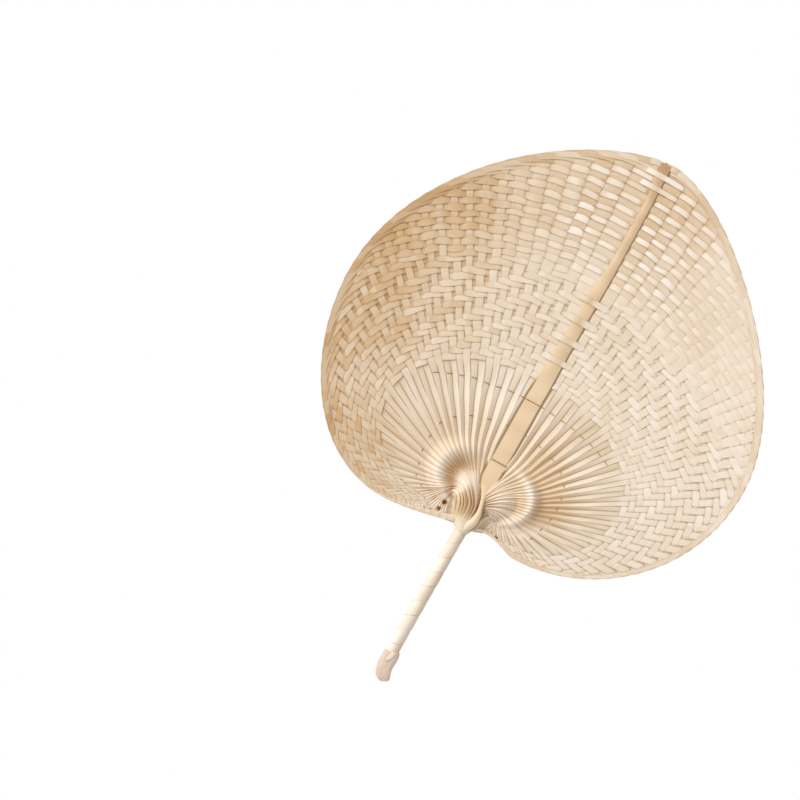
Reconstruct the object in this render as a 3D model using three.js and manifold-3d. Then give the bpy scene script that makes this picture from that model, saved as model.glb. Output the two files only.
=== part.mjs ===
// Palm leaf hand fan, in millimetres: +Z from the handle to the tip of the blade, front towards -Y.
// The origin is the middle of the grip, on the axis of the handle.
import * as THREE from 'three';
import { mergeVertices } from 'three/addons/utils/BufferGeometryUtils.js';
import Module from 'manifold-3d';

const { degToRad, lerp, clamp, smoothstep } = THREE.MathUtils;

// Outline of one half of the blade, measured from the throat
const TIP_Z = 273;
const HALF_WIDTH = 152.4;
const WIDEST_Z = 104;
const LOBE_X = 49;
const LOBE_DROP = 15;
const NOTCH_X = 7.5;
const NOTCH_DROP = 9;
const TIP_RUN = 64; // lengths of the curve handles, from the tip round to the notch
const TIP_FALL = 9;
const SHOULDER_RUN = 86;
const FLANK_RUN = 62;
const LOBE_RUN = 60;
const NOTCH_RUN = 13;
const DISH_DEPTH = 15; // how far the sides stand forward of the slat
const BLADE_LEAN = degToRad(1.2); // the tip leans to the left of the handle's axis

// Leaf: strips that spread from a pleated eye beside the slat
const STRIPS_PER_SIDE = 20;
const FAN_SWEEP = degToRad(172); // from the slat round to the last strip
const TOP_SPREAD = 0.5; // strips are narrower beside the slat, wider down in the lobe
const SLIT_SHARE = 0.14; // part of the pitch that the slit between two strips takes
const LEAF_THICKNESS = 0.35;
const EYE_X = 12;
const EYE_Z = 14;
const EYE_BLEND = degToRad(40); // beyond this angle every strip points at the eye
const RIM_TOP = 38; // radius of the eye, above and in the lobe
const RIM_LOW = 18;
const TURN_START = degToRad(50); // where the weave begins to close in round the lobe
const TURN_END = degToRad(140);
const SHOULDER_RISE = 5;
const CREST_RISE = 6;
const SHOULDER_PLACE = 0.26; // places along a pleat, from the neck to the rim
const CREST_PLACE = 0.7;
const LOW_SWELL = 0.6; // the eye is lower down in the lobe
const PLEAT_RISE = 1.2;
const PLEAT_RUN_TOP = 0.33; // how far a pleat runs on before it turns, as a part of its span
const PLEAT_RUN_LOW = 0.9;
const NECK_WIDTH = 6.5; // gathered width of the leaf on the collar

// Cross strips
const FIRST_WEFT_RADIUS = 90;
const WEFT_PITCH = 7.6;
const WEFT_GAP = 1.2;
const WEFT_THICKNESS = 0.35;
const WEFT_TURN_IN = 0.75; // how far a cross strip closes in on the throat
const WEFT_END_GAP = 1;
const TWILL_STEP = 2; // strips passed over, then under

// Threads and edge strips
const THREAD = 0.6;
const RING_PLACE = 0.3; // between the rim of the eye and the first cross strip
const EDGE_STRIP_WIDTH = 4;
const EDGE_STRIP_FROM = degToRad(95);
const EDGE_STRIP_LEAD = degToRad(10); // cross strips keep clear from this far before it

// Slat
const SLAT_WIDTH = 11;
const SLAT_TIP_WIDTH = 8;
const SLAT_TANG_WIDTH = 4.8;
const SLAT_THICKNESS = 1.2;
const SLAT_FULL_Z = 52; // full width from here up
const SLAT_TAPER_Z = 190; // narrows from here to the tip
const SLAT_TIP_GAP = 4; // short of the outline
const TANG_DEPTH = 12;
const TIE_LOWER_Z = 40;
const TIE_UPPER_Z = 85;

// Handle
const STALK_RADIUS = 3.4;
const HANDLE_LENGTH = 127; // from the throat to the end of the tag
const COLLAR_TOP_Z = 3;
const COLLAR_BOTTOM_Z = -17;
const COLLAR_STEP_Z = -9; // the wrap ends at this shoulder inside the collar
const COLLAR_TOP_HALF = 10.2; // half width and half depth at the top
const COLLAR_TOP_DEPTH = 5.5;
const COLLAR_WALL = 0.8;
const WRAP_THICKNESS = 0.6;
const WRAP_PITCH = 11.2;
const WRAP_GAP = 0.7;
const WRAP_START = Math.PI; // the strip starts on the left
const TAG_WIDTH = 12;
const TAG_LENGTH = 22;
const TAG_WALL = 1; // in front of the stalk and behind it
const TAG_NECK_WIDTH = 10;
const TAG_CORNER = 4.5;
const TAG_SOCKET = 8; // how far the stalk goes in
const TAG_TURN = degToRad(10); // the tag leans a little to the right
const TAIL_WIDTH = 3.5;
const TAIL_LENGTH = 8;
const TAIL_THICKNESS = 0.5;
const TAIL_TURN = degToRad(-14);

// Clearances and steps
const SEAT_GAP = 0.3; // between pieces that rest on each other
const LAYER_GAP = 0.4; // between woven layers
const ROUND_SIDES = 24;
const WRAP_STEPS = 20; // to one turn
const CHORD_X = 24; // longest straight stretch across the dish
const OUTLINE_STEPS = 80;
const EYE_STEPS = [0, 0.14, 0.28, 0.48, 0.62, 0.8, 1];
const COLLAR_STEPS = [0, 0.3, 0.65, 1];

// Sizes that follow from the ones above
const WEFT_WIDTH = WEFT_PITCH - WEFT_GAP;
const SLAT_EDGE = SLAT_WIDTH / 2 + THREAD + 2 * SEAT_GAP;
const WRAP_INNER = STALK_RADIUS + SEAT_GAP;
const WRAP_OUTER = WRAP_INNER + WRAP_THICKNESS;
const SEAT_Z = COLLAR_TOP_Z + SEAT_GAP;
const WRAP_TOP_Z = COLLAR_STEP_Z - SEAT_GAP;
const TAG_TOP_Z = TAG_LENGTH - HANDLE_LENGTH;
const TAG_HALF_DEPTH = STALK_RADIUS + SEAT_GAP + TAG_WALL;
const STALK_END_Z = TAG_TOP_Z - TAG_SOCKET;
const WRAP_BOTTOM_Z = TAG_TOP_Z + SEAT_GAP + (TAG_NECK_WIDTH / 2) * Math.sin(TAG_TURN);
const GRIP_BELOW_THROAT = -(WRAP_TOP_Z + WRAP_BOTTOM_Z) / 2;
const OVER_LEAF = LEAF_THICKNESS / 2 + LAYER_GAP + WEFT_THICKNESS / 2;
const OVER_SLAT = SLAT_THICKNESS / 2 + LAYER_GAP + WEFT_THICKNESS / 2;

const wasm = await Module();
wasm.setup();

// Outline: three curves from the tip over the shoulder and the lobe to the notch at the throat

const point2 = (x, z) => new THREE.Vector2(x, z);
const outline = new THREE.CurvePath();
outline.add(
  new THREE.CubicBezierCurve(
    point2(0, TIP_Z),
    point2(TIP_RUN, TIP_Z - TIP_FALL),
    point2(HALF_WIDTH, WIDEST_Z + SHOULDER_RUN),
    point2(HALF_WIDTH, WIDEST_Z),
  ),
);
outline.add(
  new THREE.CubicBezierCurve(
    point2(HALF_WIDTH, WIDEST_Z),
    point2(HALF_WIDTH, WIDEST_Z - FLANK_RUN),
    point2(LOBE_X + LOBE_RUN, -LOBE_DROP),
    point2(LOBE_X, -LOBE_DROP),
  ),
);
outline.add(
  new THREE.CubicBezierCurve(
    point2(LOBE_X, -LOBE_DROP),
    point2(LOBE_X - NOTCH_RUN, -LOBE_DROP),
    point2(NOTCH_X + NOTCH_RUN, -NOTCH_DROP - (LOBE_DROP - NOTCH_DROP) / 2),
    point2(NOTCH_X, -NOTCH_DROP),
  ),
);
const outlinePoints = outline.getPoints(OUTLINE_STEPS);

// How far the outline lies from a point, looking at an angle from +Z
function reachFrom(origin, angle) {
  const along = point2(Math.sin(angle), Math.cos(angle));
  let nearest = Infinity;
  for (let k = 1; k < outlinePoints.length; k++) {
    const start = outlinePoints[k - 1].clone().sub(origin);
    const edge = outlinePoints[k].clone().sub(outlinePoints[k - 1]);
    const spread = along.cross(edge);
    const share = start.cross(along) / spread;
    const distance = start.cross(edge) / spread;
    if (share >= 0 && share <= 1 && distance > 0) nearest = Math.min(nearest, distance);
  }
  return nearest;
}

// Leaf layout: a share of 0 lies beside the slat and a share of 1 is the last strip in the lobe

const leafAngle = (share) => FAN_SWEEP * (TOP_SPREAD * share + (1 - TOP_SPREAD) * share * share);
const turnIn = (angle) => smoothstep(angle, TURN_START, TURN_END);
const rimRadius = (share) => lerp(RIM_TOP, RIM_LOW, turnIn(leafAngle(share)));
const weftScale = (share) => 1 - WEFT_TURN_IN * turnIn(leafAngle(share));
const weaveRadius = (share) => (FIRST_WEFT_RADIUS - WEFT_PITCH / 2) * weftScale(share);
const ringRadius = (share) => lerp(rimRadius(share), weaveRadius(share), RING_PLACE);
const dishY = (x) => -DISH_DEPTH * (x / HALF_WIDTH) ** 2;

function eyeCentre(share) {
  const blend = Math.sin((Math.min(leafAngle(share) / EYE_BLEND, 1) * Math.PI) / 2);
  return point2(lerp(SLAT_EDGE, EYE_X, blend), EYE_Z);
}

function leafPoint(share, radius, lift = 0) {
  const centre = eyeCentre(share);
  const angle = leafAngle(share);
  const x = centre.x + radius * Math.sin(angle);
  return new THREE.Vector3(x, dishY(x) + lift, centre.y + radius * Math.cos(angle));
}

const leafReach = (share) => reachFrom(eyeCentre(share), leafAngle(share));

// A sheet thickened along Y, from points of its middle and triangles anticlockwise from the front

function sheetGeometry(points, triangles, thickness) {
  const count = points.length;
  const position = [-1, 1].flatMap((side) =>
    points.flatMap((p) => [p.x, p.y + (side * thickness) / 2, p.z]),
  );
  const index = [];
  const border = new Map();
  for (const [a, b, c] of triangles) {
    index.push(a, b, c, a + count, c + count, b + count);
    for (const [from, to] of [[a, b], [b, c], [c, a]]) {
      if (!border.delete(`${to} ${from}`)) border.set(`${from} ${to}`, [from, to]);
    }
  }
  for (const [from, to] of border.values()) {
    index.push(to, from, from + count, to, from + count, to + count);
  }
  const geometry = new THREE.BufferGeometry();
  geometry.setAttribute('position', new THREE.Float32BufferAttribute(position, 3));
  geometry.setIndex(index);
  geometry.computeVertexNormals();
  return geometry;
}

// A ribbon through rings of two points, inner edge first, from left to right
function ribbonGeometry(rings, thickness) {
  const triangles = [];
  for (let k = 0; k + 1 < rings.length; k++) {
    const inner = 2 * k;
    triangles.push([inner, inner + 2, inner + 3], [inner, inner + 3, inner + 1]);
  }
  return sheetGeometry(rings.flat(), triangles, thickness);
}

const mirrored = (p) => new THREE.Vector3(-p.x, p.y, p.z);

// Leaf half: the pleated eye is one sheet, and its strips are split from the rim outwards

const bump = (at, middle, reach) => (1 + Math.cos(Math.PI * clamp((at - middle) / reach, -1, 1))) / 2;

function eyePoint(share, along, ridge) {
  const rim = leafPoint(share, rimRadius(share));
  const angle = leafAngle(share);
  const start = point2(SLAT_TANG_WIDTH / 2 + 2 * SEAT_GAP + NECK_WIDTH * share, SEAT_Z);
  const end = point2(rim.x, rim.z);
  const run = start.distanceTo(end) * lerp(PLEAT_RUN_TOP, PLEAT_RUN_LOW, share);
  const curve = new THREE.CubicBezierCurve(
    start,
    point2(start.x, start.y + run),
    point2(end.x - run * Math.sin(angle), end.y - run * Math.cos(angle)),
    end,
  );
  const place = curve.getPoint(along);
  const shoulder = SHOULDER_RISE * bump(along, SHOULDER_PLACE, SHOULDER_PLACE);
  const crest = CREST_RISE * bump(along, CREST_PLACE, 1 - CREST_PLACE);
  const swell = (shoulder + crest) * lerp(1, LOW_SWELL, share);
  const fold = ridge ? PLEAT_RISE * along : 0;
  return new THREE.Vector3(place.x, dishY(place.x) - swell - fold, place.y);
}

function leafGeometry(side) {
  const points = [];
  const triangles = [];
  const add = (p) => points.push(p) - 1;
  const quad = (a, b, c, d) => triangles.push([a, b, c], [a, c, d]);
  const columns = 2 * STRIPS_PER_SIDE;
  const eyeRings = EYE_STEPS.map((along) =>
    Array.from({ length: columns + 1 }, (_, c) => add(eyePoint(c / columns, along, c % 2 === 1))),
  );
  for (let r = 0; r + 1 < eyeRings.length; r++) {
    for (let c = 0; c < columns; c++) {
      quad(eyeRings[r][c], eyeRings[r][c + 1], eyeRings[r + 1][c + 1], eyeRings[r + 1][c]);
    }
  }
  const rim = eyeRings.at(-1);
  for (let strip = 0; strip < STRIPS_PER_SIDE; strip++) {
    const [left, right] = stripEdges(strip);
    const middle = (left + right) / 2;
    const open = [left, middle, right].map((share) => {
      const fold = share === middle ? -PLEAT_RISE * (1 - RING_PLACE) : 0;
      return add(leafPoint(share, ringRadius(share), fold));
    });
    quad(rim[2 * strip], rim[2 * strip + 1], open[1], open[0]);
    quad(rim[2 * strip + 1], rim[2 * strip + 2], open[2], open[1]);
    let last = [left, right].map((share) => add(leafPoint(share, weaveRadius(share))));
    triangles.push([open[0], open[1], last[0]], [open[1], last[1], last[0]], [open[1], open[2], last[1]]);
    const span = leafPoint(right, leafReach(right)).x - leafPoint(right, weaveRadius(right)).x;
    const stretches = Math.max(1, Math.ceil(span / CHORD_X));
    for (let k = 1; k <= stretches; k++) {
      const next = [left, right].map((share) =>
        add(leafPoint(share, lerp(weaveRadius(share), leafReach(share), k / stretches))),
      );
      quad(last[0], last[1], next[1], next[0]);
      last = next;
    }
  }
  if (side > 0) return sheetGeometry(points, triangles, LEAF_THICKNESS);
  const turned = triangles.map(([a, b, c]) => [a, c, b]);
  return sheetGeometry(points.map(mirrored), turned, LEAF_THICKNESS);
}

function stripEdges(strip) {
  const slit = SLIT_SHARE / 2;
  const left = strip === 0 ? 0 : strip + slit;
  return [left / STRIPS_PER_SIDE, (strip + 1 - slit) / STRIPS_PER_SIDE];
}

// Cross strips: each runs from the left edge over and under strips and slat to the right edge

const edgeDistance = (p) => Math.min(...outlinePoints.map((q) => Math.hypot(p.x - q.x, p.z - q.y)));

// Share of the leaf at which a cross strip's edge comes to the outline
function weftEnd(radius) {
  const lastShare = stripEdges(STRIPS_PER_SIDE - 2)[1];
  const steps = 300;
  for (let k = 1; k <= steps; k++) {
    const share = (lastShare * k) / steps;
    const bound = leafAngle(share) > EDGE_STRIP_FROM - EDGE_STRIP_LEAD ? EDGE_STRIP_WIDTH : 0;
    const reach = radius * weftScale(share);
    const inside = reach < leafReach(share);
    if (!inside || edgeDistance(leafPoint(share, reach)) < bound + WEFT_END_GAP) {
      return (lastShare * (k - 1)) / steps;
    }
  }
  return lastShare;
}

// Rings of a ribbon on the right half, from the slat outwards. The level is -1 in front and 1 behind.
function halfRings(innerRadius, outerRadius, end, level, offset) {
  const ring = (share, strip) => [
    leafPoint(share, innerRadius(share), offset(level(strip))),
    leafPoint(share, outerRadius(share), offset(level(strip))),
  ];
  const rings = [];
  const [firstLeft] = stripEdges(0);
  rings.push(ring(firstLeft, 0));
  let strip = 0;
  while (strip + 1 < STRIPS_PER_SIDE && stripEdges(strip + 1)[0] < end) {
    const [, right] = stripEdges(strip);
    const [nextLeft] = stripEdges(strip + 1);
    const middle = (right + nextLeft) / 2;
    if (level(strip) === level(strip + 1)) rings.push(ring(middle, strip));
    else rings.push(ring(right, strip), ring(nextLeft, strip + 1));
    strip += 1;
  }
  const [, stripRight] = stripEdges(strip);
  rings.push(ring(Math.min(end, stripRight), strip));
  return rings;
}

// Both halves of a ribbon and the straight stretch over or under the slat between them
function crossRings(half, innerZ, outerZ, slatOffset) {
  const slatRing = (x) => [
    new THREE.Vector3(x, slatOffset, innerZ),
    new THREE.Vector3(x, slatOffset, outerZ),
  ];
  const edge = SLAT_WIDTH / 2 + SEAT_GAP;
  const left = half.map((ring) => ring.map(mirrored)).reverse();
  return [...left, slatRing(-edge), slatRing(edge), ...half];
}

function weftGeometry(number) {
  const radius = FIRST_WEFT_RADIUS + number * WEFT_PITCH;
  const inner = radius - WEFT_WIDTH / 2;
  const outer = radius + WEFT_WIDTH / 2;
  const level = (strip) => ((number + strip + 1) % (2 * TWILL_STEP) < TWILL_STEP ? -1 : 1);
  const half = halfRings(
    (share) => inner * weftScale(share),
    (share) => outer * weftScale(share),
    weftEnd(outer),
    level,
    (side) => side * OVER_LEAF,
  );
  const rings = crossRings(half, EYE_Z + inner, EYE_Z + outer, level(-1) * OVER_SLAT);
  return ribbonGeometry(rings, WEFT_THICKNESS);
}

const weftCount = Math.floor((TIP_Z - SLAT_TIP_GAP - EYE_Z - FIRST_WEFT_RADIUS) / WEFT_PITCH);

// The thread passes over one open strip and under the next
function ringThreadGeometry() {
  const end = stripEdges(STRIPS_PER_SIDE - 2)[1];
  const clear = LEAF_THICKNESS / 2 + LAYER_GAP + THREAD / 2;
  const front = -clear - PLEAT_RISE * (1 - RING_PLACE);
  const half = halfRings(
    (share) => ringRadius(share) - THREAD / 2,
    (share) => ringRadius(share) + THREAD / 2,
    end,
    (strip) => (strip % 2 === 0 ? -1 : 1),
    (side) => (side < 0 ? front : clear),
  );
  const z = EYE_Z + ringRadius(0);
  const overSlat = -SLAT_THICKNESS / 2 - LAYER_GAP - THREAD / 2;
  return ribbonGeometry(crossRings(half, z - THREAD / 2, z + THREAD / 2, overSlat), THREAD);
}

// A strip that lies on the ends of the leaf strips along the lower edge of a lobe
function edgeStripGeometry(side) {
  const steps = 14;
  const rings = [];
  const [, flank, notch] = outline.curves;
  const place = (curve, at) => {
    const edge = curve.getPoint(at);
    const inward = curve.getTangent(at).rotateAround(point2(0, 0), -Math.PI / 2);
    const back = edge.clone().addScaledVector(inward, EDGE_STRIP_WIDTH);
    return [back, edge].map((p) => new THREE.Vector3(p.x, dishY(p.x) - OVER_LEAF, p.y));
  };
  const first = flankStart(flank);
  for (let k = 0; k <= steps; k++) rings.push(place(flank, lerp(first, 1, k / steps)));
  for (let k = 1; k <= steps / 2; k++) rings.push(place(notch, k / (steps / 2)));
  if (side > 0) return ribbonGeometry(rings, WEFT_THICKNESS);
  return ribbonGeometry(rings.map((ring) => ring.map(mirrored)).reverse(), WEFT_THICKNESS);
}

// Place on the flank where the edge strip starts
function flankStart(flank) {
  const steps = 200;
  for (let k = 0; k < steps; k++) {
    const p = flank.getPoint(k / steps);
    if (Math.atan2(p.x - EYE_X, p.y - EYE_Z) > EDGE_STRIP_FROM) return k / steps;
  }
  return 0;
}

// Slat: a flat blade with a tang, made in X and Z and thickened along Y

function upright(geometry, depth) {
  return geometry.rotateX(Math.PI / 2).translate(0, depth / 2, 0);
}

function slatGeometry() {
  const tang = SLAT_TANG_WIDTH / 2;
  const full = SLAT_WIDTH / 2;
  const tip = SLAT_TIP_WIDTH / 2;
  const tipZ = TIP_Z - SLAT_TIP_GAP;
  const profile = [
    [tang, SEAT_Z - TANG_DEPTH],
    [tang, SEAT_Z],
    [full, SLAT_FULL_Z],
    [full, SLAT_TAPER_Z],
    [tip, tipZ],
  ];
  const right = profile.map(([x, z]) => point2(x, z));
  const left = profile.map(([x, z]) => point2(-x, z)).reverse();
  const shape = new THREE.Shape([...right, ...left]);
  const settings = { depth: SLAT_THICKNESS, bevelEnabled: false };
  return upright(new THREE.ExtrudeGeometry(shape, settings), SLAT_THICKNESS);
}

const slatHalfAt = (z) =>
  lerp(SLAT_TANG_WIDTH / 2, SLAT_WIDTH / 2, clamp((z - SEAT_Z) / (SLAT_FULL_Z - SEAT_Z), 0, 1));

// A thread tied once round the slat
function tieGeometry(z) {
  const holeX = slatHalfAt(z + THREAD) + SEAT_GAP;
  const holeY = SLAT_THICKNESS / 2 + SEAT_GAP;
  const frame = (x, y) => [point2(-x, -y), point2(x, -y), point2(x, y), point2(-x, y)];
  const shape = new THREE.Shape(frame(holeX + THREAD, holeY + THREAD));
  shape.holes.push(new THREE.Path(frame(holeX, holeY)));
  return new THREE.ExtrudeGeometry(shape, { depth: THREAD, bevelEnabled: false }).translate(0, 0, z);
}

// Solids for cuts

function toManifold(geometry) {
  const plain = geometry.clone();
  plain.deleteAttribute('normal');
  plain.deleteAttribute('uv');
  const merged = mergeVertices(plain, 1e-4);
  const vertProperties = Float32Array.from(merged.attributes.position.array);
  const triVerts = Uint32Array.from(merged.index.array);
  return new wasm.Manifold(new wasm.Mesh({ numProp: 3, vertProperties, triVerts }));
}

function toGeometry(manifold) {
  const mesh = manifold.getMesh();
  const geometry = new THREE.BufferGeometry();
  geometry.setAttribute('position', new THREE.Float32BufferAttribute(mesh.vertProperties, 3));
  geometry.setIndex([...mesh.triVerts]);
  geometry.computeVertexNormals();
  return geometry;
}

// Stalk: a round stick whose top is split to take the tang
function stalkGeometry() {
  const length = COLLAR_TOP_Z - STALK_END_Z;
  const stick = new THREE.CylinderGeometry(STALK_RADIUS, STALK_RADIUS, length, ROUND_SIDES)
    .rotateX(Math.PI / 2)
    .translate(0, 0, COLLAR_TOP_Z - length / 2);
  const slotHeight = 2 * TANG_DEPTH;
  const slotBottom = SEAT_Z - TANG_DEPTH - SEAT_GAP;
  const slot = new THREE.BoxGeometry(4 * STALK_RADIUS, SLAT_THICKNESS + 2 * SEAT_GAP, slotHeight)
    .translate(0, 0, slotBottom + slotHeight / 2);
  return toGeometry(toManifold(stick).subtract(toManifold(slot)));
}

// Collar: round where it grips the wrap, flared and flattened where the leaf sits on it
function collarGeometry() {
  const wrapBore = WRAP_OUTER + SEAT_GAP;
  const stalkBore = STALK_RADIUS + SEAT_GAP;
  const foot = wrapBore + COLLAR_WALL;
  const height = COLLAR_TOP_Z - COLLAR_BOTTOM_Z;
  const outer = COLLAR_STEPS.map((at) => ({
    z: COLLAR_BOTTOM_Z + height * at,
    x: lerp(foot, COLLAR_TOP_HALF, at * at),
    y: lerp(foot, COLLAR_TOP_DEPTH, at),
  }));
  const inner = [
    { z: COLLAR_TOP_Z, x: stalkBore, y: stalkBore },
    { z: COLLAR_STEP_Z, x: stalkBore, y: stalkBore },
    { z: COLLAR_STEP_Z, x: wrapBore, y: wrapBore },
    { z: COLLAR_BOTTOM_Z, x: wrapBore, y: wrapBore },
  ];
  return closedLoft([...outer, ...inner]);
}

// Ellipses joined in order, the last one back to the first
function closedLoft(ellipses) {
  const position = ellipses.flatMap(({ x, y, z }) =>
    Array.from({ length: ROUND_SIDES }, (_, k) => {
      const turn = (2 * Math.PI * k) / ROUND_SIDES;
      return [x * Math.cos(turn), y * Math.sin(turn), z];
    }).flat(),
  );
  const index = [];
  for (let e = 0; e < ellipses.length; e++) {
    const low = e * ROUND_SIDES;
    const high = ((e + 1) % ellipses.length) * ROUND_SIDES;
    for (let k = 0; k < ROUND_SIDES; k++) {
      const next = (k + 1) % ROUND_SIDES;
      index.push(low + k, low + next, high + next, low + k, high + next, high + k);
    }
  }
  const geometry = new THREE.BufferGeometry();
  geometry.setAttribute('position', new THREE.Float32BufferAttribute(position, 3));
  geometry.setIndex(index);
  geometry.computeVertexNormals();
  return geometry;
}

// Wrap: one strip wound down the stalk, with straight ends as long as it is thick

function wrapRings() {
  const halfWidth = (WRAP_PITCH - WRAP_GAP) / 2;
  const length = WRAP_TOP_Z - WRAP_BOTTOM_Z - 2 * halfWidth;
  const turns = length / WRAP_PITCH;
  const steps = Math.round(turns * WRAP_STEPS);
  const corners = (wound, z, shift) =>
    [[WRAP_INNER, -1], [WRAP_OUTER, -1], [WRAP_OUTER, 1], [WRAP_INNER, 1]].map(([radius, edge]) => {
      const turn = WRAP_START - wound;
      const x = radius * Math.cos(turn) + shift * Math.sin(turn);
      const y = radius * Math.sin(turn) - shift * Math.cos(turn);
      return new THREE.Vector3(x, y, z + edge * halfWidth);
    });
  const rings = [];
  for (let k = 0; k <= steps; k++) {
    const share = k / steps;
    rings.push(corners(2 * Math.PI * turns * share, WRAP_TOP_Z - halfWidth - length * share, 0));
  }
  rings.unshift(corners(0, WRAP_TOP_Z - halfWidth, -WRAP_THICKNESS));
  rings.push(corners(2 * Math.PI * turns, WRAP_BOTTOM_Z + halfWidth, WRAP_THICKNESS));
  return rings;
}

// Least distance between points of the strip that lie more than half a turn apart
function leastGap(rings) {
  let least = Infinity;
  for (let a = 0; a < rings.length; a++) {
    for (let b = a + WRAP_STEPS / 2; b < rings.length; b++) {
      for (const p of rings[a]) {
        for (const q of rings[b]) least = Math.min(least, p.distanceTo(q));
      }
    }
  }
  return least;
}

function wrapGeometry() {
  const rings = wrapRings();
  console.log(`handle_wrap: least gap between turns ${leastGap(rings).toFixed(2)} mm`);
  const sides = rings[0].length;
  const index = [];
  for (let k = 0; k + 1 < rings.length; k++) {
    for (let s = 0; s < sides; s++) {
      const a = k * sides + s;
      const b = k * sides + ((s + 1) % sides);
      index.push(a, b, b + sides, a, b + sides, a + sides);
    }
  }
  const end = (rings.length - 1) * sides;
  index.push(0, 2, 1, 0, 3, 2, end, end + 1, end + 2, end, end + 2, end + 3);
  const geometry = new THREE.BufferGeometry();
  const position = rings.flat().flatMap((p) => p.toArray());
  geometry.setAttribute('position', new THREE.Float32BufferAttribute(position, 3));
  geometry.setIndex(index);
  geometry.computeVertexNormals();
  return geometry;
}

// Tag: a pad of folded leaf with a socket for the end of the stalk

function tagGeometry() {
  const half = TAG_WIDTH / 2;
  const neck = TAG_NECK_WIDTH / 2;
  const plan = new THREE.Shape();
  plan.moveTo(-neck, 0);
  plan.lineTo(-half, -TAG_CORNER);
  plan.lineTo(-half, -TAG_LENGTH + TAG_CORNER);
  plan.quadraticCurveTo(-half, -TAG_LENGTH, -half + TAG_CORNER, -TAG_LENGTH);
  plan.lineTo(half - TAG_CORNER, -TAG_LENGTH);
  plan.quadraticCurveTo(half, -TAG_LENGTH, half, -TAG_LENGTH + TAG_CORNER);
  plan.lineTo(half, -TAG_CORNER);
  plan.lineTo(neck, 0);
  const depth = 2 * TAG_HALF_DEPTH;
  const settings = { depth, bevelEnabled: false, curveSegments: 6 };
  const pad = upright(new THREE.ExtrudeGeometry(plan, settings), depth)
    .rotateY(-TAG_TURN)
    .translate(0, 0, TAG_TOP_Z);
  const radius = STALK_RADIUS + SEAT_GAP;
  const socketDepth = TAG_SOCKET + SEAT_GAP;
  const socket = new THREE.CylinderGeometry(radius, radius, 2 * socketDepth, ROUND_SIDES)
    .rotateX(Math.PI / 2)
    .translate(0, 0, TAG_TOP_Z);
  return toGeometry(toManifold(pad).subtract(toManifold(socket)));
}

function tailGeometry() {
  const half = TAIL_WIDTH / 2;
  const shape = new THREE.Shape([
    point2(-half, -TAIL_LENGTH + half),
    point2(0, -TAIL_LENGTH),
    point2(half, -TAIL_LENGTH + half),
    point2(half, 0),
    point2(-half, 0),
  ]);
  const settings = { depth: TAIL_THICKNESS, bevelEnabled: false };
  return upright(new THREE.ExtrudeGeometry(shape, settings), TAIL_THICKNESS);
}

// Scene

const finish = (color, roughness) => new THREE.MeshStandardMaterial({ color, roughness, metalness: 0 });

function piece(name, geometry, color, roughness) {
  const mesh = new THREE.Mesh(geometry, finish(color, roughness));
  mesh.name = name;
  return mesh;
}

const LEAF_COLOUR = 0xecd9b8;
const WEFT_COLOUR = 0xf0dcc0;
const SLAT_COLOUR = 0xe6c69c;
const THREAD_COLOUR = 0x9b7a4c;
const WRAP_COLOUR = 0xe9d2ae;
const TAG_COLOUR = 0xe6cdb9;

const blade = new THREE.Group();
blade.rotation.y = -BLADE_LEAN;
blade.add(piece('spine_slat', slatGeometry(), SLAT_COLOUR, 0.55));
blade.add(piece('left_leaf', leafGeometry(-1), LEAF_COLOUR, 0.6));
blade.add(piece('right_leaf', leafGeometry(1), LEAF_COLOUR, 0.6));
for (let number = 0; number < weftCount; number++) {
  const name = `weft_${String(number + 1).padStart(2, '0')}`;
  blade.add(piece(name, weftGeometry(number), WEFT_COLOUR, 0.55));
}
blade.add(piece('left_edge_strip', edgeStripGeometry(-1), LEAF_COLOUR, 0.6));
blade.add(piece('right_edge_strip', edgeStripGeometry(1), LEAF_COLOUR, 0.6));
blade.add(piece('ring_thread', ringThreadGeometry(), THREAD_COLOUR, 0.8));
blade.add(piece('spine_tie_lower', tieGeometry(TIE_LOWER_Z), THREAD_COLOUR, 0.8));
blade.add(piece('spine_tie_upper', tieGeometry(TIE_UPPER_Z), THREAD_COLOUR, 0.8));

const tail = piece('wrap_tail', tailGeometry(), WRAP_COLOUR, 0.6);
tail.position.set(TAIL_WIDTH / 2, -TAG_HALF_DEPTH - SEAT_GAP - TAIL_THICKNESS / 2, TAG_TOP_Z);
tail.rotation.y = -TAIL_TURN;

const handle = new THREE.Group();
handle.add(piece('stalk', stalkGeometry(), WRAP_COLOUR, 0.7));
handle.add(piece('handle_wrap', wrapGeometry(), WRAP_COLOUR, 0.55));
handle.add(piece('throat_collar', collarGeometry(), SLAT_COLOUR, 0.6));
handle.add(piece('butt_tag', tagGeometry(), TAG_COLOUR, 0.65));
handle.add(tail);

const fan = new THREE.Group();
fan.add(blade, handle);
fan.position.z = GRIP_BELOW_THROAT;

export default fan;
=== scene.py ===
"""Looks of a palm leaf hand fan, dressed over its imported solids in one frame, in metres."""
import logging
import math
import random
from bisect import bisect_right
from dataclasses import dataclass, field
from enum import Enum
from functools import cached_property
from typing import Callable, Sequence, TypeVar

import bmesh
import bpy
from mathutils import Matrix, Vector


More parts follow.
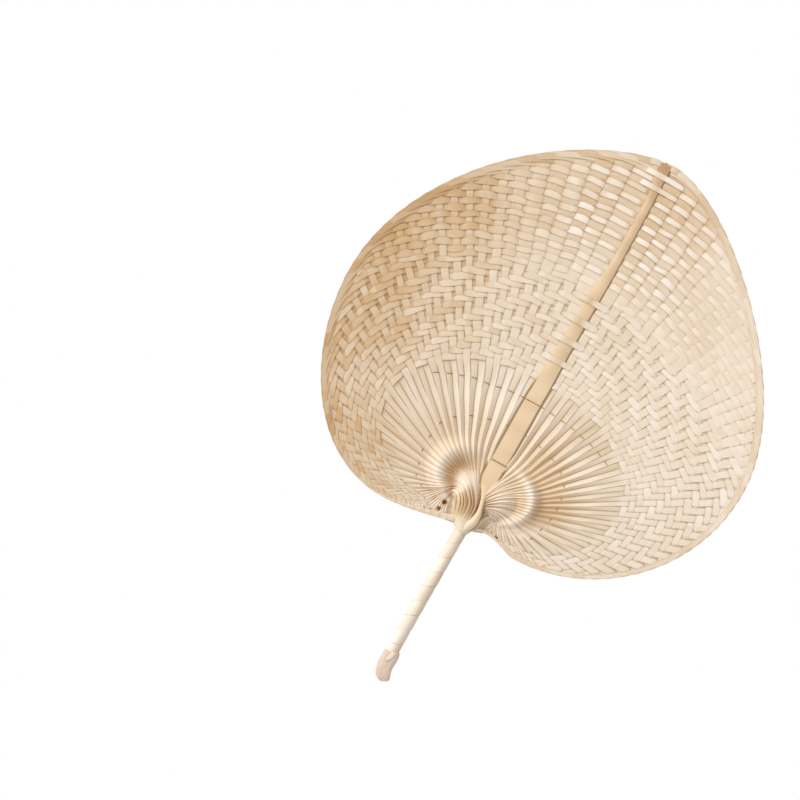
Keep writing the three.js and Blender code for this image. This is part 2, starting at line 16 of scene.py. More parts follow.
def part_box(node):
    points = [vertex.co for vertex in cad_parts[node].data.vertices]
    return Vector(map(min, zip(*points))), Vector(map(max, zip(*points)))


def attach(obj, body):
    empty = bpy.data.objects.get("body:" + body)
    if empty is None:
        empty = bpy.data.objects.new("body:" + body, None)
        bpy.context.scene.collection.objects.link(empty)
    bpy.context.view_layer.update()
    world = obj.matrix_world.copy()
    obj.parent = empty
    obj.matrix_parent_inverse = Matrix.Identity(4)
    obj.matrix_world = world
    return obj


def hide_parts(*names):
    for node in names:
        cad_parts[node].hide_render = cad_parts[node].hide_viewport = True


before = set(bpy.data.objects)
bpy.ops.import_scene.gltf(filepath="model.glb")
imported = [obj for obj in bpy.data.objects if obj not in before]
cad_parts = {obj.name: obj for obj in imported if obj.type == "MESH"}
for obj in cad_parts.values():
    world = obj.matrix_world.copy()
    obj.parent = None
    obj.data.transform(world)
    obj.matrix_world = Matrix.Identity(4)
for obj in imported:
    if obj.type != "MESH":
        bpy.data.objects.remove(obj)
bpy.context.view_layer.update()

log = logging.getLogger("palm_leaf_fan")
MM = 0.001
COLLAR_TOP = 3.0  # the collar stands this far above the throat, in millimetres
THROAT_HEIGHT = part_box("throat_collar")[1].z / MM - COLLAR_TOP
BLADE_TURN = Matrix.Rotation(math.radians(-1.2), 3, "Y")  # the blade leans a little to the left
HANDLE_TURN = Matrix.Identity(3)
CREASE = math.radians(40)  # edges that turn more than this stay sharp
WEAVE_START = 90.0  # radius of the first cross strip beside the slat, in millimetres
PALENESS_LIMITS = (0.02, 0.98)
GRAIN_LENGTH = 50.0  # strips start at random places along the grain, up to this far
LEAF_GLOSS = 0.35
Colour = tuple[float, float, float, float]
Span = tuple[float, float]  # lower and upper limit
Stops = tuple[tuple[float, float], ...]  # places and values of a smooth line
Waves = tuple[tuple[float, float, float], ...]  # radians per millimetre of x and of z, and phase
Station = TypeVar("Station")


class Side(Enum):
    """Half of the blade, as seen from the front."""

    LEFT = -1
    RIGHT = 1


class Zone(Enum):
    """Stretch of a leaf strip, from the handle outwards."""

    SHEATH = "gathered on the handle"
    EYE = "pleated round the eye"
    OPEN = "spread between the eye and the weave"
    WOVEN = "woven with the cross strips"


def lerp(low: float, high: float, share: float) -> float:
    """Value at a share of the way from low to high."""
    return low + (high - low) * share


def clamp(value: float, low: float = 0.0, high: float = 1.0) -> float:
    """Value kept between low and high."""
    return max(low, min(high, value))


def smoothstep(value: float, low: float, high: float) -> float:
    """Share from low to high with soft ends."""
    share = clamp((value - low) / (high - low))
    return share * share * (3 - 2 * share)


def bump(at: float, middle: float, reach: float) -> float:
    """Height of a round hump of height 1 about the middle."""
    return (1 + math.cos(math.pi * clamp((at - middle) / reach, -1, 1))) / 2


def shares(steps: int) -> list[float]:
    """Evenly spaced shares from 0 to 1."""
    return [k / steps for k in range(steps + 1)]


def roundness(across: float) -> float:
    """Height of a round front at a share of a strip's width: 0 at its edges and 1 in its middle."""
    return 1 - (2 * across - 1) ** 2


def inwardness(across: float) -> float:
    """How far inside a strip a share of its width lies: 0 at its edges and 1 in its middle."""
    return 1 - abs(2 * across - 1)


def pleat(strip: int, across: float) -> float:
    """Height of the pleats at a share of a strip's width: 0 in a valley and 1 on a ridge."""
    return across if strip % 2 == 0 else 1 - across


def pointing(angle: float) -> Vector:
    """Direction in the plan at an angle from the slat."""
    return Vector((math.sin(angle), math.cos(angle)))


def waver(waves: Waves, x: float, z: float) -> float:
    """Sum of a few waves at a point of the blade."""
    return sum(math.sin(by_x * x + by_z * z + phase) for by_x, by_z, phase in waves)


def profile(stops: Sequence[tuple[float, float]], at: float) -> float:
    """Value of a smooth line through stops.

    Args:
        stops: Places and values, in order of place.
        at: Place to read.

    Returns:
        The value there, held at the ends.
    """
    last = len(stops) - 1
    at = clamp(at, stops[0][0], stops[last][0])
    left = min(last, max(1, bisect_right([place for place, _ in stops], at))) - 1

    def slope(number: int) -> float:
        """Slope of the line at a stop."""
        before, after = stops[max(number - 1, 0)], stops[min(number + 1, last)]
        return (after[1] - before[1]) / (after[0] - before[0])

    (start, low), (end, high) = stops[left], stops[left + 1]
    span = end - start
    share = (at - start) / span
    rest = 1 - share
    value = low * (1 + 2 * share) * rest * rest + high * share * share * (3 - 2 * share)
    return value + span * share * rest * (slope(left) * rest - slope(left + 1) * share)


def curve_point(ends: Sequence[Vector], share: float) -> Vector:
    """Point of a cubic curve.

    Args:
        ends: The curve's four control points.
        share: Share of the way along it.

    Returns:
        The point.
    """
    rest = 1 - share
    return (
        ends[0] * rest**3
        + ends[1] * (3 * rest * rest * share)
        + ends[2] * (3 * rest * share * share)
        + ends[3] * share**3
    )


def colour(red: int, green: int, blue: int) -> Colour:
    """Colour for a shader, from the values that a screen shows.

    Args:
        red: Red, from 0 to 255.
        green: Green, from 0 to 255.
        blue: Blue, from 0 to 255.

    Returns:
        The linear colour, opaque.
    """

    def linear(value: int) -> float:
        """Linear value of one channel."""
        part = value / 255
        return part / 12.92 if part <= 0.04045 else ((part + 0.055) / 1.055) ** 2.4

    return (linear(red), linear(green), linear(blue), 1.0)


# Plan of the blade and of its weave

SLAT_BOW: Stops = ((50, 0), (90, 0.4), (140, 1.8), (190, 2.3), (272, 2.1))


@dataclass(frozen=True)
class Blade:
    """Outline, eye and dish of one half of the blade, outwards from the slat, in millimetres.

    The fan gives the angle of a strip in degrees, by its share of all strips, and the row spread
    gives how far apart the cross strips lie at such an angle, as a part of their usual distance.
    The strips waver by the slack, but less near the slat, low on the blade and along the outline.
    """

    side: Side
    half_width: float
    widest: float
    tip_handle: Vector
    shoulder_run: float
    flank_run: float
    lobe: Vector
    lobe_run: float
    lobe_inner: Vector
    notch_outer: Vector
    notch: Vector
    lobe_eye: Vector
    fan: Stops
    row_spread: Stops
    tip: float = 273.0
    dish_depth: float = 15.0
    bow_fade: Span = (20.0, 110.0)
    slack: float = 0.45
    slack_out: Span = (6.0, 30.0)
    slack_up: Span = (40.0, 110.0)
    slack_in: Span = (0.0, 40.0)
    aside_waves: Waves = ((0.23, 0.11, 0.0), (0.09, -0.19, 2.0))
    upward_waves: Waves = ((0.15, -0.21, 1.0), (0.27, 0.08, 0.0))
    strips: int = 61
    eye: Vector = field(default_factory=lambda: Vector((12.0, 14.0)))
    eye_blend: float = math.radians(40)
    slat_edge: float = 5.2
    rim_top: float = 38.0
    rim_low: float = 12.0
    rim_room: float = 7.0
    turn_start: float = math.radians(50)
    turn_end: float = math.radians(140)
    weave_turn_in: float = 0.76
    least_crispness: float = 0.6
    curve_steps: int = 80
    samples: int = 488

    @cached_property
    def outline(self) -> list[Vector]:
        """This half of the outline.

        Returns:
            Its points, from the tip to the notch.
        """
        tip, wide = Vector((0, self.tip)), Vector((self.half_width, self.widest))
        over_wide, under_wide = Vector((0, self.shoulder_run)), Vector((0, self.flank_run))
        curves = (
            (tip, self.tip_handle, wide + over_wide, wide),
            (wide, wide - under_wide, self.lobe + Vector((self.lobe_run, 0)), self.lobe),
            (self.lobe, self.lobe_inner, self.notch_outer, self.notch),
        )
        points = [tip]
        for curve in curves:
            points += [curve_point(curve, share) for share in shares(self.curve_steps)[1:]]
        return points

    @cached_property
    def angles(self) -> list[float]:
        """Angle from the slat for evenly spaced strips."""
        return [math.radians(profile(self.fan, share)) for share in shares(self.samples)]

    def read(self, values: Sequence[float], share: float) -> float:
        """Reads a list of values for evenly spaced strips, drawn out below 0.

        Args:
            values: One value for each sample.
            share: Which line of the leaf, where 0 is beside the slat and 1 is the last strip.

        Returns:
            The value there.
        """
        at = min(share, 1.0) * self.samples
        low = max(0, min(int(at), self.samples - 1))
        return lerp(values[low], values[low + 1], at - low)

    def angle(self, share: float) -> float:
        """Angle of a strip from the slat, where a share of 1 is the last strip in the lobe."""
        return self.read(self.angles, share)

    def strip_angle(self, strip: int) -> float:
        """Angle between the two edges of a strip."""
        return self.angle((strip + 1) / self.strips) - self.angle(strip / self.strips)

    @cached_property
    def spreads(self) -> list[float]:
        """Spread of the cross strips for evenly spaced strips."""
        return [profile(self.row_spread, math.degrees(angle)) for angle in self.angles]

    def spread(self, share: float) -> float:
        """How far apart the cross strips lie, as a part of their usual distance."""
        return self.read(self.spreads, max(0.0, share))

    def crispness(self, share: float) -> float:
        """How much of a strip's edge stays out of the painted shade of its seams: less where the
        rows lie far apart.
        """
        return lerp(1.0, self.least_crispness, clamp(4 * (self.spread(share) - 1)))

    def turn_in(self, share: float) -> float:
        """How far the weave has closed in round the lobe, from 0 to 1."""
        return smoothstep(self.angle(share), self.turn_start, self.turn_end)

    def centre(self, share: float) -> Vector:
        """Point of the plan that a strip radiates from.

        Args:
            share: Which line of the leaf, from 0 beside the slat to 1.

        Returns:
            The point, which moves from the slat to the eye and on into the lobe.
        """
        blend = math.sin(min(self.angle(share) / self.eye_blend, 1) * math.pi / 2)
        beside = Vector((lerp(self.slat_edge, self.eye.x, blend), self.eye.y))
        return beside + (self.lobe_eye - self.eye) * self.turn_in(share)

    def ray(self, share: float, radius: float) -> Vector:
        """Point of the plan on a strip, at a radius from its centre."""
        return self.centre(share) + pointing(self.angle(share)) * radius

    def rim(self, share: float) -> float:
        """Radius of the eye."""
        radius = lerp(self.rim_top, self.rim_low, self.turn_in(share))
        return min(radius, self.reach(share) - self.rim_room)

    def weave_start(self, share: float) -> float:
        """Radius of the middle of the first cross strip."""
        return WEAVE_START * (1 - self.weave_turn_in * self.turn_in(share))

    def dish(self, x: float) -> float:
        """Depth of the dished sheet at a distance from the slat."""
        return -self.dish_depth * (x / self.half_width) ** 2

    def place(self, plan: Vector, rise: float) -> Vector:
        """Puts a point of the plan on the bowed and dished blade.

        Args:
            plan: The point, outwards from the slat and upwards.
            rise: How far it stands forward of the dished sheet.

        Returns:
            Its place.
        """
        bow = profile(SLAT_BOW, plan.y) * (1 - smoothstep(plan.x, *self.bow_fade))
        out = plan - self.eye
        share = bisect_right(self.angles, math.atan2(out.x, out.y)) / self.samples
        margin = self.reach(share) - out.length
        loose = self.slack * smoothstep(plan.x, *self.slack_out)
        loose *= smoothstep(plan.y, *self.slack_up)
        loose *= smoothstep(margin, *self.slack_in)
        x, z = self.side.value * plan.x, plan.y
        aside, upward = waver(self.aside_waves, x, z), waver(self.upward_waves, x, z)
        return Vector((x + bow + loose * aside, self.dish(plan.x) - rise, z + loose * upward))

    def flat(self, plan: Vector) -> Vector:
        """Place of a point of the plan on a flat, straight blade."""
        return Vector((plan.x * self.side.value, 0, plan.y))

    @cached_property
    def reaches(self) -> list[float]:
        """Radius of the outline for evenly spaced strips."""
        return [self._reach(share) for share in shares(self.samples)]

    def _reach(self, share: float) -> float:
        """Finds where a strip's line crosses the outline.

        Args:
            share: Which line of the leaf, from 0 beside the slat to 1.

        Returns:
            The least radius at which it does.
        """
        origin = self.centre(share)
        along = pointing(self.angle(share))
        nearest = math.inf
        for first, second in zip(self.outline, self.outline[1:]):
            start = first - origin
            edge = second - first
            spread = along.cross(edge)
            if abs(spread) < 1e-9:
                continue
            place = start.cross(along) / spread
            distance = start.cross(edge) / spread
            if 0 <= place <= 1 and distance > 0:
                nearest = min(nearest, distance)
        return nearest

    def reach(self, share: float) -> float:
        """Radius of the outline along a strip."""
        return self.read(self.reaches, max(0.0, share))


BLADES = {
    Side.LEFT: Blade(
        side=Side.LEFT,
        half_width=151.5,
        widest=105.0,
        tip_handle=Vector((60.0, 267.0)),
        shoulder_run=84.0,
        flank_run=60.5,
        lobe=Vector((58.0, -17.9)),
        lobe_run=56.0,
        lobe_inner=Vector((40.0, -17.5)),
        notch_outer=Vector((17.0, -12.6)),
        notch=Vector((6.0, -8.5)),
        lobe_eye=Vector((20.0, 10.0)),
        fan=((0, 0), (0.274, 50), (0.6, 115), (1, 195)),
        row_spread=((0, 1), (195, 1)),
    ),
    Side.RIGHT: Blade(
        side=Side.RIGHT,
        half_width=153.4,
        widest=102.5,
        tip_handle=Vector((46.5, 278.5)),
        shoulder_run=78.0,
        flank_run=66.0,
        lobe=Vector((40.0, -12.2)),
        lobe_run=58.0,
        lobe_inner=Vector((30.0, -12.0)),
        notch_outer=Vector((20.0, -1.5)),
        notch=Vector((6.0, -9.2)),
        lobe_eye=Vector((18.0, 9.0)),
        fan=((0, 0), (0.205, 35), (0.297, 50), (0.51, 82), (0.75, 137), (1, 195)),
        row_spread=((0, 1), (40, 1), (62, 1.22), (195, 1.22)),
    ),
}


def slat_nearness(place: Vector) -> float:
    """How near to the outer part of the slat a place is, from 0 to 1."""
    return smoothstep(place.z, 150, 210) * (1 - smoothstep(abs(place.x), 25, 90))


@dataclass(frozen=True)
class LeafTone:
    """Paleness of the dried leaf over the blade: the left is more tan, partly its own tone and
    partly painted shade, the right a little paler as painted light, and its lobe and the tip are
    more tan.

    The lean is how far to the left and, by less, how far up a place lies, as a part of the blade.
    """

    half_width: float = 151.0
    middle: float = 100.0
    upper_half: float = 173.0
    lean: tuple[float, float] = (-0.96, 0.16)
    usual: float = 0.62
    left_tan: float = 0.29
    left_span: Span = (0.05, 1.0)
    right_light: float = 0.06
    right_span: Span = (0.0, 0.8)
    tip_tan: float = 0.07
    tip_up: Span = (190.0, 262.0)
    tip_out: Span = (15.0, 80.0)
    lobe_tan: float = 0.12
    lobe_out: Span = (15.0, 35.0)
    lobe_up: Span = (5.0, 50.0)
    blotch: float = 0.02
    blotches: Waves = ((0.11, 0.05, 0.0), (-0.04, 0.07, 1.0))

    def at(self, place: Vector) -> float:
        """Reads the paleness.

        Args:
            place: Place on the blade, in millimetres from the throat.

        Returns:
            Paleness from 0, ochre, to 1, bleached.
        """
        lean = self.lean[0] * place.x / self.half_width
        lean += self.lean[1] * (place.z - self.middle) / self.upper_half
        tip = smoothstep(place.z, *self.tip_up) * (1 - smoothstep(abs(place.x), *self.tip_out))
        lobe = smoothstep(-place.x, *self.lobe_out) * (1 - smoothstep(place.z, *self.lobe_up))
        # the left's tan is partly the leaf's own tone and partly painted shade; the right's extra
        # paleness is painted light
        tone = self.usual - self.left_tan * smoothstep(lean, *self.left_span)
        tone += self.right_light * smoothstep(-lean, *self.right_span)
        blotch = waver(self.blotches, place.x, place.z)
        return tone - self.tip_tan * tip - self.lobe_tan * lobe + self.blotch * blotch


LEAF_TONE = LeafTone()


@dataclass(frozen=True)
class Weave:
    """Order in which cross strips pass over and under, and where they lie, in millimetres."""

    first: float = WEAVE_START
    twill_pitch: float = 3.85
    plain_pitch: float = 4.5
    plain_from: float = 163.15
    plain_blend: Span = (-3.0, 1.0)
    last: float = 246.0
    rise: float = 0.28
    slat_rise: float = 0.95
    slat_rows: tuple[int, ...] = (4, 8, 12, 16)
    bound_rows: tuple[int, int] = (1, 3)
    least_dive: float = 0.3
    usual_turn: Span = (0.25, 0.75)
    over_slat_turn: Span = (0.7, 0.9)
    under_slat_turns: tuple[Span, Span] = ((0.1, 0.3), (0.3, 0.65))

    @cached_property
    def radii(self) -> list[float]:
        """Where the cross strips lie beside the slat.

        Returns:
            The radius of each, outwards.
        """
        found = [self.first]
        while found[-1] < self.last:
            found.append(found[-1] + self.pitch(found[-1]))
        return found

    def pitch(self, radius: float) -> float:
        """Distance between cross strips at a radius."""
        return self.twill_pitch if radius < self.plain_from - 1 else self.plain_pitch

    def row(self, radius: float) -> float:
        """Counts the cross strips out to a radius.

        Args:
            radius: Radius beside the slat.

        Returns:
            Number of the cross strip there, with its fraction.
        """
        if radius < self.plain_from:
            return (radius - self.first) / self.twill_pitch
        return self.twill_rows + (radius - self.plain_from) / self.plain_pitch

    @cached_property
    def twill_rows(self) -> int:
        """Count of cross strips that pass two over and two under."""
        return round((self.plain_from - self.first) / self.twill_pitch)

    def plain(self, row: float) -> float:
        """How plain the weave is at a row: 0 in the twill and 1 further out."""
        return smoothstep(row - self.twill_rows, *self.plain_blend)

    def over(self, column: int, row: int, side: Side) -> bool:
        """Looks up a crossing of the weave.

        Args:
            column: Number of the leaf strip, outwards from the slat, which is 0.
            row: Number of the cross strip, outwards.
            side: Half of the blade.

        Returns:
            Whether the cross strip passes in front.
        """
        if column == 0:
            return row in self.slat_rows or len(self.radii) - row in self.bound_rows
        if row < self.twill_rows:
            return (column + row) % 4 < 2
        return (column + row + (side is Side.RIGHT)) % 2 == 0

    def lift(self, column: int, row: int, side: Side) -> float:
        """Forward rise of a cross strip at a crossing."""
        rise = self.slat_rise if column == 0 else self.rise
        return rise if self.over(column, row, side) else -rise

    def dive_shade(self, lift: float) -> float:
        """How much of a strip stays out of the painted shade where it passes from front to back."""
        return lerp(self.least_dive, 1.0, smoothstep(abs(lift) / self.rise, 0.0, 0.8))

    def course(self, along: float, row: int, side: Side) -> float:
        """Follows a cross strip over and under the leaf strips.

        Args:
            along: Count of leaf strips from the slat.
            row: Number of the cross strip, outwards.
            side: Half of the blade.

        Returns:
            Its forward rise there.
        """
        low = math.floor(along)
        turn = self.usual_turn
        if low == 0:
            under = self.under_slat_turns[side is Side.RIGHT]
            turn = self.over_slat_turn if self.over(0, row, side) else under
        ends = [self.lift(column, row, side) for column in (low, low + 1)]
        return lerp(*ends, smoothstep(along - low, *turn))


# Strips as meshes


@dataclass(frozen=True)
class Spot:
    """A point of a strip, in millimetres from the throat.

    Attributes:
        place: Its place.
        paleness: From 0, ochre, to 1, bleached; besides the leaf's own tones it carries painted
            highlights and painted shade.
        edge: From 0, in a dark line of painted shade along the seams and valleys, to 1, well inside
            the strip.
    """

    place: Vector
    paleness: float
    edge: float


class StripMesh:
    """A mesh of leaf strips, each one a grid that is laid along its own path.

    A point whose edges are all longer than the longest step is a spike that a sharp fold threw up.
    """

    longest_step: float = 3.5
    grain_step: float = 0.2
    seam_gap: float = 1e-4

    def __init__(self) -> None:
        """Starts an empty mesh with its layers."""
        self.bm = bmesh.new()
        self.uv = self.bm.loops.layers.uv.new("strip")
        self.paleness = self.bm.verts.layers.float.new("paleness")
        self.edge = self.bm.verts.layers.float.new("edge")

    def add(
        self,
        stations: Sequence[Station],
        lanes: int,
        spot: Callable[[Station, float], Spot],
        shift: float = 0.0,
        facing: Callable[[Vector], Vector] = lambda _: Vector((0, -1, 0)),
    ) -> None:
        """Adds one strip.

        Args:
            stations: Places along the strip, in order.
            lanes: Count of faces across it.
            spot: Gives the point at a station and a share of the width.
            shift: Moves the grain along, so that no two strips share it.
            facing: Direction in which the strip's outer side looks at a point.
        """
        steps = len(stations) - 1
        made = bmesh.ops.create_grid(self.bm, x_segments=steps, y_segments=lanes, size=1.0)
        for vert in made["verts"]:
            number = round((vert.co.x + 1) / 2 * steps)
            across = (vert.co.y + 1) / 2
            for loop in vert.link_loops:
                loop[self.uv].uv = (number * self.grain_step + shift, across)
            found = spot(stations[number], across)
            vert.co = found.place
            vert[self.paleness] = found.paleness
            vert[self.edge] = found.edge
        faces = list({face for vert in made["verts"] for face in vert.link_faces})
        outward = 0.0
        for face in faces:
            face.normal_update()
            outward += face.normal.dot(facing(face.calc_center_median())) * face.calc_area()
        if outward < 0:
            bmesh.ops.reverse_faces(self.bm, faces=faces)

    def piece(
        self, name: str, thickness: float, turn: Matrix = BLADE_TURN
    ) -> bpy.types.Object:
        """Gives the strips their thickness and makes them one object.

        Args:
            name: Name of the piece.
            thickness: Thickness of a strip, in millimetres.
            turn: How the piece's own axes lie at the throat.

        Returns:
            The finished object.
        """
        bmesh.ops.solidify(self.bm, geom=self.bm.faces[:], thickness=thickness)
        spikes = [vert for vert in self.bm.verts if self.nearest(vert) > self.longest_step]
        bmesh.ops.smooth_vert(
            self.bm, verts=spikes, factor=1.0, use_axis_x=True, use_axis_y=True, use_axis_z=True
        )
        return mesh_piece(self.bm, name, turn)

    def close(self) -> None:
        """Joins the two ends of a strip that goes all the way round."""
        bmesh.ops.remove_doubles(self.bm, verts=self.bm.verts[:], dist=self.seam_gap)

    def nearest(self, vert: bmesh.types.BMVert) -> float:
        """Length of a point's shortest edge."""
        return min(edge.calc_length() for edge in vert.link_edges)


def around(centre: Vector) -> Vector:
    """Direction away from the handle's axis."""
    return Vector((centre.x, centre.y, 0))


def put(name: str, data: bpy.types.ID) -> bpy.types.Object:
    """Puts a new object in the scene.

    Args:
        name: Its name.
        data: Its mesh, camera or lamp.

    Returns:
        The object, at the origin.
    """
    made = bpy.data.objects.new(name, data)
    bpy.context.scene.collection.objects.link(made)
    return made


def mesh_piece(bm: bmesh.types.BMesh, name: str, turn: Matrix) -> bpy.types.Object:
    """Makes an object of a mesh that was built in millimetres from the throat.

    Args:
        bm: The mesh, which is freed.
        name: Name of the piece.
        turn: How the piece's own axes lie at the throat.

    Returns:
        The object, with its place in its mesh.
    """
    bmesh.ops.rotate(bm, verts=bm.verts[:], matrix=turn)
    bmesh.ops.translate(bm, verts=bm.verts[:], vec=(0, 0, THROAT_HEIGHT))
    bmesh.ops.scale(bm, verts=bm.verts[:], vec=(MM, MM, MM))
    for face in bm.faces:
        face.smooth = True
    for edge in bm.edges:
        edge.smooth = edge.calc_face_angle(math.pi) < CREASE
    mesh = bpy.data.meshes.new(name)
    bm.to_mesh(mesh)
    bm.free()
    return put(name, mesh)


def settle(
    piece: bpy.types.Object, finish: bpy.types.Material, slot: str, *nodes: str
) -> bpy.types.Object:
    """Dresses a piece and ties it to the frame.

    Args:
        piece: The object.
        finish: Its material.
        slot: Material slot of the record; not used.
        nodes: Nodes of the frame that it stands for.

    Returns:
        The same object.
    """
    piece.data.materials.clear()
    piece.data.materials.append(finish)
    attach(piece, "root")
    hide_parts(*nodes)
    return piece


# Finishes


class Shader:
    """A material's node board."""

    def __init__(self, name: str) -> None:
        """Starts a material with its shader and output.

        Args:
            name: Name of the material.
        """
        self.material = bpy.data.materials.new(name)
        self.material.use_nodes = True
        self.tree = self.material.node_tree
        self.tree.nodes.clear()
        self.surface = self.node("ShaderNodeBsdfPrincipled")
        output = self.node("ShaderNodeOutputMaterial")
        self.link(self.surface.outputs["BSDF"], output.inputs["Surface"])

    def node(self, kind: str, **settings: object) -> bpy.types.Node:
        """Adds a node.

        Args:
            kind: Blender's name for the node.
            settings: Properties of the node, or else values of its inputs.

        Returns:
            The node.
        """
        made = self.tree.nodes.new(kind)
        for key, value in settings.items():
            if hasattr(made, key):
                setattr(made, key, value)
            else:
                made.inputs[key.replace("_", " ")].default_value = value
        return made

    def link(self, source: bpy.types.NodeSocket, target: bpy.types.NodeSocket) -> None:
        """Joins an output to an input."""
        self.tree.links.new(source, target)

    def feed(self, target: bpy.types.NodeSocket, value: object) -> None:
        """Gives an input its value.

        Args:
            target: The input.
            value: Socket to join to it, or a fixed value.
        """
        if isinstance(value, bpy.types.NodeSocket):
            self.link(value, target)
        else:
            target.default_value = value

    def math(self, operation: str, *values: object) -> bpy.types.NodeSocket:
        """Adds a sum, product or other step.

        Args:
            operation: Blender's name for it.
            values: Sockets or numbers.

        Returns:
            The result's socket.
        """
        made = self.node("ShaderNodeMath", operation=operation)
        for target, value in zip(made.inputs, values):
            self.feed(target, value)
        return made.outputs["Value"]

    def ramp(
        self, source: bpy.types.NodeSocket, stops: Sequence[tuple[float, Colour]]
    ) -> bpy.types.NodeSocket:
        """Adds a colour ramp.

        Args:
            source: Value that picks the colour.
            stops: Places and colours, in order.

        Returns:
            The colour's socket.
        """
        made = self.node("ShaderNodeValToRGB")
        points = made.color_ramp.elements
        while len(points) < len(stops):
            points.new(1.0)
        for point, (place, shade) in zip(points, stops):
            point.position = place
            point.color = shade
        self.link(source, made.inputs["Fac"])
        return made.outputs["Color"]

    def mix(
        self, share: bpy.types.NodeSocket, first: object, second: object
    ) -> bpy.types.NodeSocket:
        """Mixes two colours.

        Args:
            share: How much of the second colour shows.
            first: Colour or its socket.
            second: Colour or its socket.

        Returns:
            The mixed colour's socket.
        """
        made = self.node("ShaderNodeMix", data_type="RGBA")
        self.link(share, made.inputs["Factor"])
        colour_inputs = [socket for socket in made.inputs if socket.type == "RGBA"]
        for target, value in zip(colour_inputs, (first, second)):
            self.feed(target, value)
        return next(socket for socket in made.outputs if socket.type == "RGBA")

    def streaks(
        self,
        where: bpy.types.NodeSocket,
        scale: tuple[float, float, float],
        detail: float,
        roughness: float,
    ) -> bpy.types.NodeSocket:
        """Adds a noise that is drawn out along one direction.

        Args:
            where: Coordinates that it lies on.
            scale: How fine it is along each of them.
            detail: Count of its finer layers.
            roughness: How strong these are.

        Returns:
            Socket of the noise, from 0 to 1.
        """
        lay = self.node("ShaderNodeMapping", Scale=scale)
        self.link(where, lay.inputs["Vector"])
        noise = self.node("ShaderNodeTexNoise", Scale=1.0, Detail=detail, Roughness=roughness)
        self.link(lay.outputs["Vector"], noise.inputs["Vector"])
        return noise.outputs["Fac"]

    def coat(
        self,
        body: bpy.types.NodeSocket,
        streak: bpy.types.NodeSocket,
        roughness: Span,
        relief: Span,
    ) -> None:
        """Finishes the surface, with a gloss and a fine relief that follow its streaks.

        Args:
            body: Socket of the colour.
            streak: Socket of the streaks.
            roughness: Roughness between the streaks and on them.
            relief: How strongly they stand out, to 1, and how far, in metres.
        """
        self.link(body, self.surface.inputs["Base Color"])
        gloss = self.node("ShaderNodeMapRange", To_Min=roughness[0], To_Max=roughness[1])
        self.link(streak, gloss.inputs["Value"])
        self.link(gloss.outputs["Result"], self.surface.inputs["Roughness"])
        self.surface.inputs["Specular IOR Level"].default_value = LEAF_GLOSS
        raised = self.node("ShaderNodeBump", Strength=relief[0], Distance=relief[1])
        self.link(streak, raised.inputs["Height"])
        self.link(raised.outputs["Normal"], self.surface.inputs["Normal"])


@dataclass(frozen=True)
class LeafFinish:
    """Dried leaf: fibres along each strip, tones that differ from strip to strip, and dark lines of
    painted shade in the seams.
    """

    name: str
    ochre: Colour = colour(166, 126, 78)
    tan: Colour = colour(205, 168, 122)
    cream: Colour = colour(229, 208, 181)
    pale: Colour = colour(243, 228, 211)
    bleached: Colour = colour(252, 242, 233)
    seam_shade: Colour = colour(134, 101, 62)
    seam_shade_width: float = 0.26
    seam_shade_share: float = 0.62
    grain: float = 0.2
    fibres: float = 13.0
    fibre_run: float = 0.7
    roughness: Span = (0.42, 0.62)
    relief: Span = (0.5, 0.00008)

    def material(self) -> bpy.types.Material:
        """Builds the material.

        Returns:
            The material.
        """
        shader = Shader(self.name)
        where = shader.node("ShaderNodeUVMap", uv_map="strip").outputs["UV"]
        fibre = shader.streaks(where, (self.fibre_run, self.fibres, 1.0), 5.0, 0.62)
        blotch = shader.node("ShaderNodeTexNoise", Scale=0.9, Detail=2.0, Roughness=0.5)
        shader.link(where, blotch.inputs["Vector"])
        tone = shader.node("ShaderNodeAttribute", attribute_name="paleness")
        seam_shade = shader.node("ShaderNodeAttribute", attribute_name="edge")
        paleness = tone.outputs["Fac"]
        for noise in (fibre, blotch.outputs["Fac"]):
            grain = shader.math("MULTIPLY_ADD", noise, self.grain, -self.grain / 2)
            paleness = shader.math("ADD", paleness, grain)
        stops = (
            (0.0, self.ochre),
            (0.3, self.tan),
            (0.55, self.cream),
            (0.8, self.pale),
            (1.0, self.bleached),
        )
        body = shader.ramp(paleness, stops)
        # painted shade: where the edge attribute is low, in the seams between strips and the
        # valleys between pleats, the dark colour is mixed in
        dark = shader.node(
            "ShaderNodeMapRange",
            interpolation_type="SMOOTHSTEP",
            From_Max=self.seam_shade_width,
            To_Min=1 - self.seam_shade_share,
        )
        shader.link(seam_shade.outputs["Fac"], dark.inputs["Value"])
        seam_shaded = shader.mix(dark.outputs["Result"], self.seam_shade, body)
        shader.coat(seam_shaded, fibre, self.roughness, self.relief)
        return shader.material


@dataclass(frozen=True)
class GrainFinish:
    """Plain stick, cord or pad: streaks along one direction of the object."""

    name: str
    light: Colour
    dark: Colour
    streaks: tuple[float, float, float] = (900.0, 900.0, 40.0)
    roughness: Span = (0.5, 0.7)
    relief: Span = (0.4, 0.0001)

    def material(self) -> bpy.types.Material:
        """Builds the material.

        Returns:
            The material.
        """
        shader = Shader(self.name)
        where = shader.node("ShaderNodeTexCoord").outputs["Object"]
        streak = shader.streaks(where, self.streaks, 6.0, 0.6)
        body = shader.ramp(streak, ((0.3, self.dark), (0.7, self.light)))
        shader.coat(body, streak, self.roughness, self.relief)
        return shader.material


# Leaf halves


